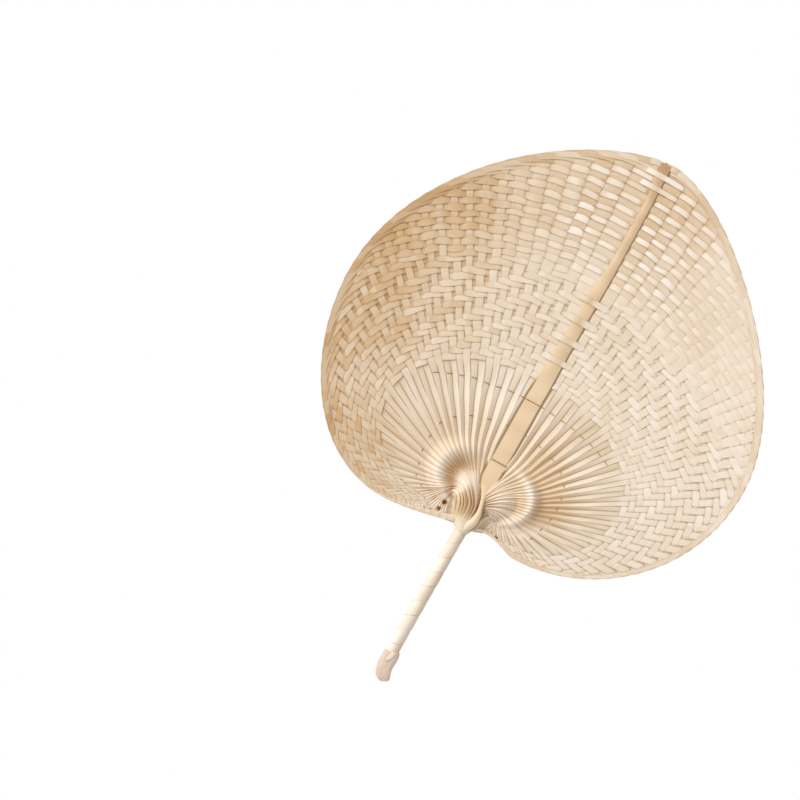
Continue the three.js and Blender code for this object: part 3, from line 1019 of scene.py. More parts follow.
@dataclass(frozen=True)
class Gather:
    """How one half of the leaf is gathered onto the handle, outward from the slat, in millimetres.

    Attributes:
        foot_turns: Angles round the handle from its front, of the inmost and the outmost foot.
        flare: How far the outmost pleat stands off the handle just above its foot.
        necks: Places where the inmost and the outmost pleat leave the handle.
        neck_rise: Forward rise of the pleats there, at the sides and further in the middle.
        leans: Direction of the pleats there, from the slat outwards, in degrees from the axis.
        runs: How far the inmost and the outmost pleat run on, as a part of their span.
        shoulder: Place and rise of the first swell of a pleat.
        crest: Place, rise, and the reach before and after, of the second one.
        tones: Paleness along a pleat, with painted highlights on the swells and painted shade in
            the hollows beside them.
        haze: How far the painted shade in the valleys fades along a pleat, where 1 is the end of
            the eye and 2 the weave.
        swells: How much of the swells each pleat has, from the slat outwards.
        low_tone: Paleness of the low pleats, where they have no swells.
        open_pale: How much paler than the weave the open strips are.
        woven_pale: How much paler than on the other half the woven strips are.
        strokes: Count of the broad furrows across the gathered leaf.
        stroke_end: Place along a pleat where the furrows have faded.
        valley: How narrow the painted shade in the valleys between the open pleats is.
        pits: Small hollows, darkened with painted shade, with the radius of each.
        foot_height: Height of the pleats' feet.
        foot_radius: How far they lie from the handle's axis.
        foot_run: How far a pleat runs straight up from its foot.
        neck_run: How far it runs straight into its neck.
    """

    foot_turns: tuple[float, float]
    flare: float
    necks: tuple[Vector, Vector]
    neck_rise: tuple[float, float]
    leans: Stops
    runs: tuple[float, float]
    shoulder: tuple[float, float]
    crest: tuple[float, float, float, float]
    tones: Stops
    haze: Stops
    swells: Stops
    low_tone: float
    open_pale: float
    woven_pale: float
    strokes: int
    stroke_end: float
    valley: float
    pits: tuple[tuple[Vector, float], ...]
    foot_height: float = -12.3
    foot_radius: float = 5.0
    foot_run: float = 4.5
    neck_run: float = 6.0

    def foot(self, share: float) -> tuple[Vector, float]:
        """Lower end of a pleat, on the handle.

        Args:
            share: Which pleat, from 0, the inmost, to 1.

        Returns:
            Its point of the plan and its forward rise.
        """
        turn = lerp(*self.foot_turns, share)
        plan = Vector((self.foot_radius * math.sin(turn), self.foot_height))
        return plan, self.foot_radius * math.cos(turn)

    def neck(self, share: float) -> tuple[Vector, float]:
        """Point at which a pleat leaves the handle.

        Args:
            share: Which pleat, from 0, the inmost, to 1.

        Returns:
            Its point of the plan and its forward rise.
        """
        side, more = self.neck_rise
        round_off = math.sqrt(max(0.0, 1 - (2 * share - 1) ** 2))
        return self.necks[0].lerp(self.necks[1], share), side + more * round_off

    def heading(self, share: float) -> Vector:
        """Direction in which a pleat leaves the handle."""
        return pointing(math.radians(profile(self.leans, share)))

    def swell(self, at: float) -> float:
        """Swells along a pleat.

        Args:
            at: Share of the way from the handle to the end of the eye.

        Returns:
            Forward rise of the two swells.
        """
        place, rise = self.shoulder
        crest_place, crest_rise, before, after = self.crest
        reach = before if at < crest_place else after
        return rise * bump(at, place, place) + crest_rise * bump(at, crest_place, reach)

    def stroke(self, share: float) -> float:
        """Height of the furrows across the leaf, from 0 to 1."""
        wander = 0.9 * math.sin(17 * share + 1) + 0.6 * math.sin(41 * share)
        return ((1 + math.cos(2 * math.pi * self.strokes * share + wander)) / 2) ** 0.6


GATHERS = {
    Side.LEFT: Gather(
        foot_turns=(math.radians(-28), math.radians(96)),
        flare=5.5,
        necks=(Vector((-2.0, 10.0)), Vector((14.5, 5.0))),
        neck_rise=(2.2, 5.6),
        leans=((0, 22), (0.5, 36), (1, 30)),
        runs=(0.3, 0.8),
        shoulder=(0.26, 3.2),
        crest=(0.8, 6.0, 0.26, 0.2),
        tones=(
            (0, 0.26),
            (0.1, 0.42),
            (0.25, 0.75),
            (0.4, 0.64),
            (0.55, 0.33),
            (0.67, 0.43),
            (0.8, 0.74),
            (0.9, 0.6),
            (1, 0.56),
        ),
        haze=((0.3, 0), (0.45, 0.6), (0.62, 0.6), (0.78, 0)),
        swells=((0, 0), (0.05, 0.08), (0.15, 0.55), (0.3, 1.0), (0.6, 0.95), (0.8, 0.6), (1, 0.45)),
        low_tone=0.5,
        open_pale=0.06,
        woven_pale=0.05,
        strokes=7,
        stroke_end=0.5,
        valley=1.6,
        pits=((Vector((19.2, -0.5)), 2.1), (Vector((20.5, -6.3)), 1.9)),
    ),
    Side.RIGHT: Gather(
        foot_turns=(math.radians(20), math.radians(95)),
        flare=3.0,
        necks=(Vector((1.0, 15.0)), Vector((13.0, 5.0))),
        neck_rise=(2.6, 1.4),
        leans=((0, 6), (0.5, 60), (0.75, 92), (1, 122)),
        runs=(0.3, 0.6),
        shoulder=(0.3, 2.6),
        crest=(0.72, 6.6, 0.24, 0.17),
        tones=(
            (0, 0.34),
            (0.2, 0.6),
            (0.45, 0.55),
            (0.62, 0.5),
            (0.72, 0.88),
            (0.79, 0.52),
            (0.87, 0.42),
            (1, 0.42),
        ),
        haze=((0.7, 0), (0.82, 0.7), (1.06, 0.7), (1.22, 0)),
        swells=((0, 0), (0.05, 0.08), (0.14, 0.5), (0.25, 1.0), (0.44, 1.0), (0.6, 0.3), (1, 0.1)),
        low_tone=0.68,
        open_pale=-0.05,
        woven_pale=0.0,
        strokes=13,
        stroke_end=0.7,
        valley=1.0,
        pits=((Vector((14.0, 0.4)), 1.4), (Vector((23.1, -5.6)), 1.6)),
    ),
}


@dataclass
class LeafHalf:
    """One half of the leaf: strips that leave the handle pleated and end woven at the outline.

    Attributes:
        side: Which half it is.
        weave: Order of the weave.
        rng: Source of the strips' own tones.
        thickness: Thickness of a strip.
        width: Width of a strip where it is woven closely.
        fold_slope: Height of the pleats, as a part of their pitch.
        fold_limit: Most that they rise.
        stroke_rise: Height of the broad furrows.
        stroke_shade: How much paler the furrows are painted on top, and darker in their hollows, as
            painted highlight and shade.
        stroke_level: Height of the furrows that has the usual paleness.
        eye_ridge_shade: How much paler the pleats are painted on top round the eye, and darker
            below, as painted highlight and shade.
        open_ridge_shade: How much paler they are painted on top past it, and darker below, as
            painted highlight and shade.
        slat_tone: Paleness of the pleats beside the slat.
        sheath_tones: Paleness along the handle, up to the neck.
        own_gathered: How much of a strip's own tone shows where it is gathered.
        own_woven: How much of it shows where the strip is woven.
        tone_spread: Most that a strip's own tone differs.
        crown: How round a woven strip's front is.
        under_shade: How much darker a woven strip is painted where it lies under, as painted shade.
        slat_tan: How much more tan it is by the slat.
        pit_depth: Depth of the small hollows.
        pit_shade: How much darker the painted shade in them makes them.
        tuck: How far the first strip goes under the slat, as a part of its width.
        end_gap: Room between the strips' ends and the outline.
        open_least: Least length of the open stretch.
        woven_least: Least length of the woven stretch.
        web_sag: How far the slack leaf below the pleats sags back.
        web_tones: Its paleness at its edges, and where it sags most, darker there as painted shade.
        web_folds: Count of its folds.
        sheath_steps: Count of faces along the handle.
        eye_steps: Count of faces round the eye.
        open_steps: Count of faces from the eye to the weave.
        steps_per_row: Count of faces for each cross strip.
    """

    side: Side
    weave: Weave
    rng: random.Random
    thickness: float = 0.25
    width: float = 4.9
    fold_slope: float = 0.62
    fold_limit: float = 1.6
    stroke_rise: float = 1.0
    stroke_shade: float = 0.38
    stroke_level: float = 0.6
    eye_ridge_shade: float = 0.16
    open_ridge_shade: float = 0.14
    slat_tone: float = 0.5
    sheath_tones: Stops = ((0, 0.68), (0.4, 0.6), (0.75, 0.34))
    own_gathered: float = 0.25
    own_woven: float = 0.5
    tone_spread: float = 0.07
    crown: float = 0.12
    under_shade: float = 0.06
    slat_tan: float = 0.14
    pit_depth: float = 2.5
    pit_shade: float = 0.4
    tuck: float = 0.95
    end_gap: float = 0.5
    open_least: float = 2.5
    woven_least: float = 4.0
    web_sag: float = 2.2
    web_tones: Span = (0.66, 0.4)
    web_folds: int = 3
    sheath_steps: int = 10
    eye_steps: int = 26
    open_steps: int = 10
    steps_per_row: int = 3

    @property
    def blade(self) -> Blade:
        """Plan of this half of the blade."""
        return BLADES[self.side]

    @property
    def gather(self) -> Gather:
        """Gathering of this half of the leaf."""
        return GATHERS[self.side]

    def stations(self, share: float) -> list[tuple[Zone, float]]:
        """Places along a strip, from the handle to the outline.

        Args:
            share: Which strip, from 0 beside the slat to 1.

        Returns:
            Zones, each with a share of the way through it.
        """
        counts = (
            (Zone.SHEATH, self.sheath_steps),
            (Zone.EYE, self.eye_steps),
            (Zone.OPEN, self.open_steps),
        )
        found = [(zone, at) for zone, steps in counts for at in shares(steps)[:-1]]
        span = self.blade.reach(share) - self.weave_edge(share)
        rows_steps = max(2, round(self.steps_per_row * span / self.weave.twill_pitch))
        return found + [(Zone.WOVEN, at) for at in shares(rows_steps)]

    def weave_edge(self, share: float) -> float:
        """Finds where the weave begins.

        Args:
            share: Which line of the leaf, from 0 beside the slat to 1.

        Returns:
            Radius of the inner edge of the first cross strip, within the room there is.
        """
        half_pitch = self.weave.twill_pitch / 2
        edge = self.blade.weave_start(share) - half_pitch * self.blade.spread(share)
        least = self.blade.rim(share) + self.open_least
        return min(max(edge, least), self.blade.reach(share) - self.woven_least)

    def spot(self, strip: int, own_tone: float, station: tuple[Zone, float], across: float) -> Spot:
        """Point of a strip.

        Args:
            strip: Number of the strip, outwards from the slat.
            own_tone: How much paler than the rest it is.
            station: Zone and share.
            across: Share of the width, from the edge nearer to the slat.

        Returns:
            The point.
        """
        zone, at = station
        share = (strip + across) / self.blade.strips
        ridge = pleat(strip, across)
        low = self.lowness(share)
        # painted shade: dark lines in the valleys between the pleats
        valley = min(1.0, self.gather.valley * ridge * lerp(1.0, 0.6, low))
        haze = profile(self.gather.haze, at + (zone is Zone.OPEN))
        haze *= profile(self.gather.swells, share)
        if zone is Zone.WOVEN:
            own_tone *= self.own_woven
            plan, lift, paleness = self.woven(strip, across, at)
            # painted shade along the strip's edges and where it dives under the cross strips
            edge = lerp(0.1, 1.0, inwardness(across)) * self.weave.dive_shade(lift)
            edge *= self.blade.crispness(share)
            # the painted shade in the seams is fainter on the upper right
            if self.side is Side.RIGHT:
                bright = 0.4 * smoothstep(plan.y, 150, 180)
                edge = lerp(edge, 1.0, bright * smoothstep(plan.x, 50, 90))
        elif zone is Zone.OPEN:
            plan, lift, paleness = self.open(share, at, ridge)
            spread = smoothstep(at, lerp(0.15, 0.4, low), lerp(0.7, 1.0, low))
            edge = lerp(valley, 0.75 * inwardness(across), spread)
            edge = lerp(edge, 1.0, haze)
        elif zone is Zone.EYE:
            plan, lift, paleness = self.eye(share, at, ridge)
            depth = smoothstep(at, 0.1, 0.55) * lerp(1.0, 0.7, low)
            edge = lerp(1.0, valley, depth * (1 - haze))
            own_tone *= lerp(self.own_gathered, 1.0, smoothstep(at, 0.25, 0.7))
        else:
            plan, lift, paleness = self.sheath(share, at)
            edge = 1.0
            own_tone *= self.own_gathered
        # pits: hollows darkened with painted shade
        for pit, radius in self.gather.pits:
            shade = 1 - smoothstep((plan - pit).length, 0.45 * radius, radius)
            lift -= self.pit_depth * shade
            edge *= 1 - shade
            paleness -= self.pit_shade * shade
        place = self.blade.place(plan, lift)
        return Spot(place, clamp(paleness + own_tone, *PALENESS_LIMITS), edge)

    def sheath(self, share: float, at: float) -> tuple[Vector, float, float]:
        """Point of the leaf where it is gathered on the handle.

        Args:
            share: Which line of the leaf, from 0 beside the slat to 1.
            at: Share of the way from the foot to the neck.

        Returns:
            The point of the plan, its forward rise and its paleness.
        """
        foot, foot_rise = self.gather.foot(share)
        neck, neck_rise = self.gather.neck(share)
        spread = foot + Vector((self.gather.flare * share, self.gather.foot_run))
        entry = neck - self.gather.heading(share) * self.gather.neck_run
        plan = curve_point((foot, spread, entry, neck), at)
        stroke = self.gather.stroke(share) * smoothstep(at, 0.3, 0.8)
        lift = lerp(foot_rise, neck_rise, smoothstep(at, 0.0, 1.0))
        tone = profile((*self.sheath_tones, (1, self.gather.tones[0][1])), at)
        # painted highlight on the furrows' tops and painted shade in their hollows
        shade = self.stroke_shade * (stroke - self.stroke_level) * smoothstep(at, 0.3, 0.7)
        return plan, lift + self.stroke_rise * stroke, tone + shade

    def eye(self, share: float, at: float, ridge: float) -> tuple[Vector, float, float]:
        """Point of the leaf where it is pleated round the eye.

        Args:
            share: Which line of the leaf, from 0 beside the slat to 1.
            at: Share of the way from the neck to the rim.
            ridge: Height of the pleats there, from 0 to 1.

        Returns:
            The point of the plan, its forward rise and its paleness.
        """
        neck, neck_rise = self.gather.neck(share)
        rim = self.blade.ray(share, self.blade.rim(share))
        run = (rim - neck).length * lerp(*self.gather.runs, share)
        entry = neck + self.gather.heading(share) * run
        plan = curve_point((neck, entry, rim - pointing(self.blade.angle(share)) * run, rim), at)
        stroke = self.gather.stroke(share)
        fade = 1 - smoothstep(at, 0.1, lerp(self.gather.stroke_end, 1.8, self.lowness(share)))
        lift = neck_rise * (1 - smoothstep(at, 0.0, 0.5))
        swell = profile(self.gather.swells, share)
        lift += self.gather.swell(at) * swell
        lift += self.fold(self.blade.rim(share) * at) * ridge
        lift += self.stroke_rise * stroke * fade
        low_tone = lerp(self.slat_tone, self.gather.low_tone, self.lowness(share))
        # the tones paint highlights on the swells and shade in the hollows beside them
        tone = lerp(low_tone, profile(self.gather.tones, at), swell)
        # painted highlight on the furrows' tops and painted shade in their hollows
        shade = self.stroke_shade * (stroke - self.stroke_level) * fade
        # painted highlight on the pleats' ridges and painted shade in their valleys
        shade += self.eye_ridge_shade * (ridge - 0.5) * smoothstep(at, 0.1, 0.6)
        return plan, lift, tone + shade

    def lowness(self, share: float) -> float:
        """How low a pleat lies on the blade, from 0 to 1."""
        return smoothstep(share, 0.45, 0.62)

    def fold(self, radius: float) -> float:
        """Height of a pleat at a radius."""
        pitch = radius * self.blade.angle(1.0) / self.blade.strips
        return min(self.fold_limit, self.fold_slope * pitch)

    def open(self, share: float, at: float, ridge: float) -> tuple[Vector, float, float]:
        """Point of the leaf where it spreads between the eye and the weave.

        Args:
            share: Which line of the leaf, from 0 beside the slat to 1.
            at: Share of the way from the rim of the eye to the weave.
            ridge: Height of the pleats there, from 0 to 1.

        Returns:
            The point of the plan, its forward rise and its paleness.
        """
        radius = lerp(self.blade.rim(share), self.weave_edge(share), at)
        plan = self.blade.ray(share, radius)
        fade = 1 - smoothstep(at, 0.35, 1.0)
        lift = self.fold(radius) * (ridge * fade)
        low = self.lowness(share)
        start = lerp(self.slat_tone, self.gather.tones[-1][1], smoothstep(share, -0.04, 0.16))
        start = lerp(start, self.gather.low_tone, low)
        end = LEAF_TONE.at(self.blade.flat(plan)) + self.gather.open_pale
        tone = lerp(start, end, smoothstep(at, 0, 0.6))
        furrowed = 0.8 * low * (1 - smoothstep(at, 0.2, 1.0))
        stroke = self.gather.stroke(share) - self.stroke_level
        # painted highlight on the furrows' tops and painted shade in their hollows, on the low
        # pleats
        shade = self.stroke_shade * stroke * furrowed
        # the last term paints highlight on the pleats' ridges and shade in their valleys
        return plan, lift, tone + shade + self.open_ridge_shade * (ridge - 0.5)

    def row(self, radius: float, share: float) -> float:
        """Number of the cross strip at a radius of a strip, with its fraction."""
        out = (radius - self.blade.weave_start(share)) / self.blade.spread(share)
        return self.weave.row(out + self.weave.first)

    def woven(self, strip: int, across: float, at: float) -> tuple[Vector, float, float]:
        """Point of a strip where it is woven.

        Args:
            strip: Number of the strip, outwards from the slat.
            across: Share of the width, from the edge nearer to the slat.
            at: Share of the way from the start of the weave to the outline.

        Returns:
            The point of the plan, its forward rise and its paleness.
        """
        count = self.blade.strips
        middle = (strip + 0.5) / count
        start = self.weave_edge(middle)
        outward = lerp(start, self.blade.reach(middle), at)
        pitch = outward * self.blade.strip_angle(strip)
        wide = self.weave.plain(self.row(outward, middle) + 2)
        if self.side is Side.LEFT:
            wide *= 1 - smoothstep(strip, 4, 8)
        width = min(1.0, lerp(self.width, pitch, wide) / pitch)
        if strip == 0 and across < 0.5:
            width = 1 + self.tuck
        share = middle + (across - 0.5) * width / count
        radius = lerp(start, self.blade.reach(share) - self.end_gap, at)
        row = self.row(radius, share)
        low = math.floor(row)
        last = len(self.weave.radii) - 1
        rows = [int(clamp(n, 0, last)) for n in (low, low + 1)]
        ends = [self.weave.lift(strip + 1, n, self.side) for n in rows]
        sink = lerp(*ends, smoothstep(row - low, 0.2, 0.8))
        plan = self.blade.ray(share, radius)
        place = self.blade.flat(plan)
        tone = LEAF_TONE.at(place) - 0.03 - self.slat_tan * slat_nearness(place)
        tone += self.gather.woven_pale
        # painted shade where the strip lies under a cross strip
        tone -= self.under_shade * sink / self.weave.rise
        return plan, self.crown * roundness(across) - sink, tone

    def web(self, at: float, across: float) -> Spot:
        """Point of the slack leaf between the handle and the last pleat.

        Args:
            at: Share of the way down from the neck.
            across: Share of the way out from the handle.

        Returns:
            The point.
        """
        near, near_rise, _ = self.sheath(1.0, 1 - 0.85 * at)
        if at < 0.5:
            far, far_rise, _ = self.eye(1.0, lerp(0.35, 1.0, 2 * at), 0.5)
        else:
            far = self.blade.ray(1.0, lerp(self.blade.rim(1.0), self.blade.reach(1.0), 2 * at - 1))
            far_rise = 0.3
        plan = near.lerp(far, across)
        sag = math.sin(math.pi * across)
        rise = lerp(near_rise, far_rise, across) - self.web_sag * sag
        place = self.blade.place(plan, rise)
        fold = 0.5 + 0.5 * math.cos(2 * math.pi * self.web_folds * across + 3 * at)
        # painted shade in the sag and the fold valleys, painted highlight on the folds
        tone = lerp(*self.web_tones, sag * at) + self.eye_ridge_shade * (fold - 0.5)
        return Spot(place, tone, lerp(1.0, fold, 0.7))

    def build(self, finish: bpy.types.Material) -> bpy.types.Object:
        """Builds and dresses the half.

        Args:
            finish: Its material.

        Returns:
            The finished object.
        """
        mesh = StripMesh()
        for strip in range(self.blade.strips):
            own_tone = self.rng.uniform(-self.tone_spread, self.tone_spread)
            mesh.add(
                self.stations((strip + 0.5) / self.blade.strips),
                2,
                lambda station, across: self.spot(strip, own_tone, station, across),
                self.rng.uniform(0, GRAIN_LENGTH),
            )
        mesh.add(shares(self.eye_steps), 12, self.web)
        name = self.side.name.lower()
        piece = mesh.piece(f"{name}_leaf_strips", self.thickness)
        return settle(piece, finish, "leaf", f"{name}_leaf")


# Cross strips


@dataclass
class CrossStrips:
    """Strips that are woven across the leaf, in rows from the eye to the tip.

    Attributes:
        weave: Order of the weave.
        rng: Source of the floats' own tones.
        thickness: Thickness of a strip.
        overlap: Width in the twill, as a part of the pitch.
        spaced_width: Width in the plain weave, as a part of the pitch.
        dense_width: The same on the left, where the rows lie close.
        pinch: How much wider a strip is where it lies in front.
        unevenness: How much its width wavers.
        tone_spread: Most that a float's own tone differs.
        tones_per_row: Count of such tones, which come round again.
        left_tan: How much more tan the left is.
        slat_tan: How much more tan the strips are on the slat.
        slat_fades: Where they fade out beside it, on the left and on the right.
        tilt: How far the inner edge stands forward.
        crown: How round the front is.
        end_gap: Room between a strip's end and the outline.
        steps_per_strip: Count of faces along it for each leaf strip.
    """

    weave: Weave
    rng: random.Random
    thickness: float = 0.25
    overlap: float = 1.1
    spaced_width: float = 0.78
    dense_width: float = 1.03
    pinch: float = 0.08
    unevenness: float = 0.1
    tone_spread: float = 0.09
    tones_per_row: int = 61
    left_tan: float = 0.06
    slat_tan: float = 0.27
    slat_fades: tuple[Span, Span] = ((0.1, 0.4), (0.3, 0.65))
    tilt: float = 0.2
    crown: float = 0.14
    end_gap: float = 1.6
    steps_per_strip: int = 4

    def end(self, row: int, side: Side) -> float:
        """Finds where a cross strip meets the outline.

        Args:
            row: Number of the cross strip, outwards.
            side: Half of the blade.

        Returns:
            Count of leaf strips that it passes there.
        """
        blade = BLADES[side]
        steps = blade.strips * self.steps_per_strip
        for k in range(steps):
            share = k / steps
            half = self.weave.pitch(self.weave.radii[row]) / 2 * blade.spread(share)
            outer = self.radius(row, share, blade) + half
            if outer > blade.reach(share) - self.end_gap:
                return max(1.0, k / self.steps_per_strip)
        return blade.strips - 2.0

    def radius(self, row: int, share: float, blade: Blade) -> float:
        """Radius of the middle of a cross strip, on one line of the leaf."""
        out = self.weave.radii[row] - self.weave.first
        return blade.weave_start(share) + out * blade.spread(share)

    def spot(self, row: int, tones: Sequence[float], at: float, across: float) -> Spot:
        """Point of a cross strip.

        Args:
            row: Number of the cross strip, outwards.
            tones: How much paler than the rest each of its floats is.
            at: Leaf strips from the slat, negative on the left.
            across: Share of the width, from the edge nearer to the eye.

        Returns:
            The point.
        """
        along = abs(at)
        side = Side.RIGHT if at >= 0 else Side.LEFT
        blade = BLADES[side]
        plain = self.weave.plain(row)
        spaced = lerp(self.spaced_width, self.dense_width, smoothstep(-at, 1.0, 4.0))
        part = lerp(self.overlap, spaced, self.weave.plain(row - 2))
        width = self.weave.pitch(self.weave.radii[row]) * part
        share = max(0.0, along - 0.5) / blade.strips
        width *= blade.spread(share) * (1 + self.unevenness * math.sin(2.7 * row + 0.9 * at))
        lift = self.weave.course(along, row, side)
        front = clamp(lift / self.weave.rise, -1, 1)
        width *= 1 + self.pinch * (1 - 0.7 * plain) * front
        radius = self.radius(row, share, blade) + (across - 0.5) * width
        if along < 0.5:
            plan = Vector((2 * along * blade.slat_edge, blade.eye.y + radius))
        else:
            plan = blade.ray(share, radius)
        rise = lift + self.tilt * (1 - 2 * across) + self.crown * roundness(across)
        place = blade.place(plan, rise)
        near = slat_nearness(place)
        # painted highlight on the floats in front and painted shade where the strip passes under
        front_shade = lerp(0.07 - 0.04 * plain, 0.18, near)
        paleness = LEAF_TONE.at(place) + 0.03 + front_shade * front
        on_slat = 1 - smoothstep(along, *self.slat_fades[side is Side.RIGHT])
        paleness += 0.02 * plain - self.slat_tan * on_slat
        if side is Side.LEFT:
            paleness -= self.left_tan * (1 - near)
        lively = lerp(1.0, lerp(0.5, 1.5, near), plain)
        paleness += tones[round((at + blade.strips) / 2) % len(tones)] * lively
        # painted shade: dark lines along the strip's edges and where it dives under, fainter on the
        # right in the plain weave
        edge = lerp(0.06, 1.0, inwardness(across)) * blade.crispness(share)
        if along > 0.75:
            edge *= lerp(self.weave.dive_shade(lift), 1.0, 0.4 * plain)
        if side is Side.RIGHT:
            edge = lerp(edge, 1.0, 0.5 * plain * (1 - near))
        return Spot(place, clamp(paleness, *PALENESS_LIMITS), edge)

    def build(self, finish: bpy.types.Material, nodes: Sequence[str]) -> bpy.types.Object:
        """Builds and dresses the cross strips.

        Args:
            finish: Their material.
            nodes: Nodes of the frame that they stand for.

        Returns:
            The finished object.
        """
        mesh = StripMesh()
        most = self.tone_spread
        for row in range(len(self.weave.radii)):
            tones = [self.rng.uniform(-most, most) for _ in range(self.tones_per_row)]
            stations: list[float] = [0.0]
            for side in Side:
                end = self.end(row, side)
                steps = round(end * self.steps_per_strip)
                stations += [side.value * end * k / steps for k in range(1, steps + 1)]
            stations.sort()
            mesh.add(
                stations,
                2,
                lambda at, across: self.spot(row, tones, at, across),
                self.rng.uniform(0, GRAIN_LENGTH),
            )
        piece = mesh.piece("cross_strips", self.thickness)
        return settle(piece, finish, "cross_strip", *nodes)


# Edge


@dataclass
class EdgeFolds:
    """Ends of the leaf strips, folded back along the outline, and a strip along the lower edge.

    Attributes:
        side: Half of the blade.
        rng: Source of the ends' own tones.
        thickness: Thickness of a strip.
        width: Width of a folded end.
        pitches: Count of leaf strips that a folded end lies across.
        insets: How far it goes in from the outline, on the left and on the right.
        rise: How far it stands forward in its middle.
        sink: How far its end goes back into the weave.
        crown: How round its front is.
        tone_spread: Most that its own tone differs.
        tans: How much more tan the ends are, on the left and on the right.
        steps: Count of faces along a folded end.
        last_fold: Count of the folded ends.
        band_points: Count of the outline's points that the lower strip passes.
        band_widths: Its width, on the left and on the right.
        band_rise: How far it stands forward, and how much more at the throat.
        band_tone: Its paleness, and how much that wavers.
    """

    side: Side
    rng: random.Random
    thickness: float = 0.25
    width: float = 4.2
    pitches: float = 3.2
    insets: tuple[float, float] = (6.5, 3.4)
    rise: float = 0.95
    sink: float = 0.35
    crown: float = 0.12
    tone_spread: float = 0.1
    tans: tuple[float, float] = (0.0, 0.05)
    steps: int = 12
    last_fold: int = 50
    band_points: int = 104
    band_widths: tuple[float, float] = (3.8, 1.8)
    band_rise: tuple[float, float] = (1.25, 1.2)
    band_tone: tuple[float, float] = (0.56, 0.07)

    @property
    def blade(self) -> Blade:
        """Plan of this half of the blade."""
        return BLADES[self.side]

    def spot(self, strip: int, own_tone: float, at: float, across: float) -> Spot:
        """Point of a folded end.

        Args:
            strip: Number of the strip, outwards from the slat.
            own_tone: How much paler than the rest it is.
            at: Share of the way from the outline back into the weave.
            across: Share of the width, from the outer edge.

        Returns:
            The point.
        """
        share = (strip + 0.5 - min(self.pitches, strip + 0.85) * at) / self.blade.strips
        on_right = self.side is Side.RIGHT
        inset = self.insets[on_right] * min(1.0, (strip + 1) / self.pitches) ** 2
        radius = self.blade.reach(share) - 0.3 - inset * at * at - across * self.width
        plan = self.blade.ray(share, radius)
        rise = self.rise * math.sin(math.pi * clamp(0.12 + 0.88 * at)) - self.sink * at
        place = self.blade.place(plan, rise + self.crown * roundness(across))
        paleness = clamp(LEAF_TONE.at(place) + own_tone - self.tans[on_right], *PALENESS_LIMITS)
        # painted shade: dark lines along both edges of a folded end
        return Spot(place, paleness, lerp(0.06, 1.0, inwardness(across)))

    def band(self, number: int, across: float) -> Spot:
        """Point of the strip along the lower edge.

        Args:
            number: Number of the outline's point, from the throat outwards.
            across: Share of the width, from the outer edge.

        Returns:
            The point.
        """
        outline = self.blade.outline
        last = len(outline) - 1
        here = last - number
        ahead = outline[max(0, here - 1)] - outline[min(last, here + 1)]
        inward = Vector((-ahead.y, ahead.x)).normalized()
        share = number / self.band_points
        width = self.band_widths[self.side is Side.RIGHT]
        width *= lerp(1.1, 0.2, smoothstep(share, 0.1, 1.0))
        plan = outline[here] + inward * (0.2 + across * width)
        usual, more = self.band_rise
        rise = usual + more * (1 - smoothstep(share, 0.0, 0.2)) + 0.3 * roundness(across)
        place = self.blade.place(plan, rise)
        tone, wavering = self.band_tone
        tone += wavering * (math.sin(1.3 * number) + math.sin(0.7 * number + 2))
        # painted shadow: dark lines along both edges of the band
        return Spot(place, tone, lerp(0.3, 1.0, inwardness(across)))

    def build(self, finish: bpy.types.Material) -> bpy.types.Object:
        """Builds and dresses the folded ends.

        Args:
            finish: Their material.

        Returns:
            The finished object.
        """
        mesh = StripMesh()
        for strip in range(self.last_fold):
            own_tone = self.rng.uniform(-self.tone_spread, self.tone_spread)
            mesh.add(
                shares(self.steps),
                2,
                lambda at, across: self.spot(strip, own_tone, at, across),
                self.rng.uniform(0, GRAIN_LENGTH),
            )
        mesh.add(range(0, self.band_points, 2), 4, self.band)
        name = self.side.name.lower()
        piece = mesh.piece(f"{name}_edge_folds", self.thickness)
        return settle(piece, finish, "leaf", f"{name}_edge_strip")


@dataclass
class RingThread:
    """Thread that passes over some pleats and under the others, round the open leaf.

    Attributes:
        halves: Both halves of the leaf.
        places: Place in the open stretch of the pleats, by the angle from the slat in degrees.
        step: The thread shows on one pleat out of this many.
        end: Count of leaf strips that it passes on each side.
        at_slat: Forward rise where it crosses the slat.
        thread: Thickness of the thread.
        over: Forward rise of the thread from the pleats that it passes over.
        under: The same for the pleats that it passes under.
        paleness: Paleness of the thread.
        steps_per_strip: Count of faces along it for each leaf strip.
    """

    halves: dict[Side, LeafHalf]
    places: Stops
    step: int
    end: int
    at_slat: float
    thread: float = 0.55
    over: float = 0.35
    under: float = -0.5
    paleness: float = 0.3
    steps_per_strip: int = 4

    def spot(self, at: float, across: float) -> Spot:
        """Point of the thread.

        Args:
            at: Leaf strips from the slat, negative on the left.
            across: Share of the thread's width.

        Returns:
            The point.
        """
        along = abs(at)
        half = self.halves[Side.RIGHT if at >= 0 else Side.LEFT]
        passed = max(0.0, along - 0.5)
        share = passed / half.blade.strips
        strip = int(passed)
        ridge = pleat(strip, along - 0.5 - strip)
        angle = half.blade.angle(share)
        plan, lift, _ = half.open(share, profile(self.places, math.degrees(angle)), ridge)
        rise = lift + (self.over if strip % self.step == 0 else self.under)
        if along < 0.5:
            plan = Vector((2 * along * half.blade.slat_edge, plan.y))
        if along < 0.75:
            rise = self.at_slat
        plan = plan + pointing(angle) * ((across - 0.5) * self.thread)
        return Spot(half.blade.place(plan, rise), self.paleness, 1.0)

    def build(self, name: str, finish: bpy.types.Material, node: str) -> bpy.types.Object:
        """Builds and dresses the thread.

        Args:
            name: Name of the piece.
            finish: Its material.
            node: Node of the frame that it stands for.

        Returns:
            The finished object.
        """
        mesh = StripMesh()
        steps = self.end * self.steps_per_strip
        mesh.add([k / self.steps_per_strip for k in range(-steps, steps + 1)], 1, self.spot)
        return settle(mesh.piece(name, self.thread), finish, "thread", node)


# Slat and handle


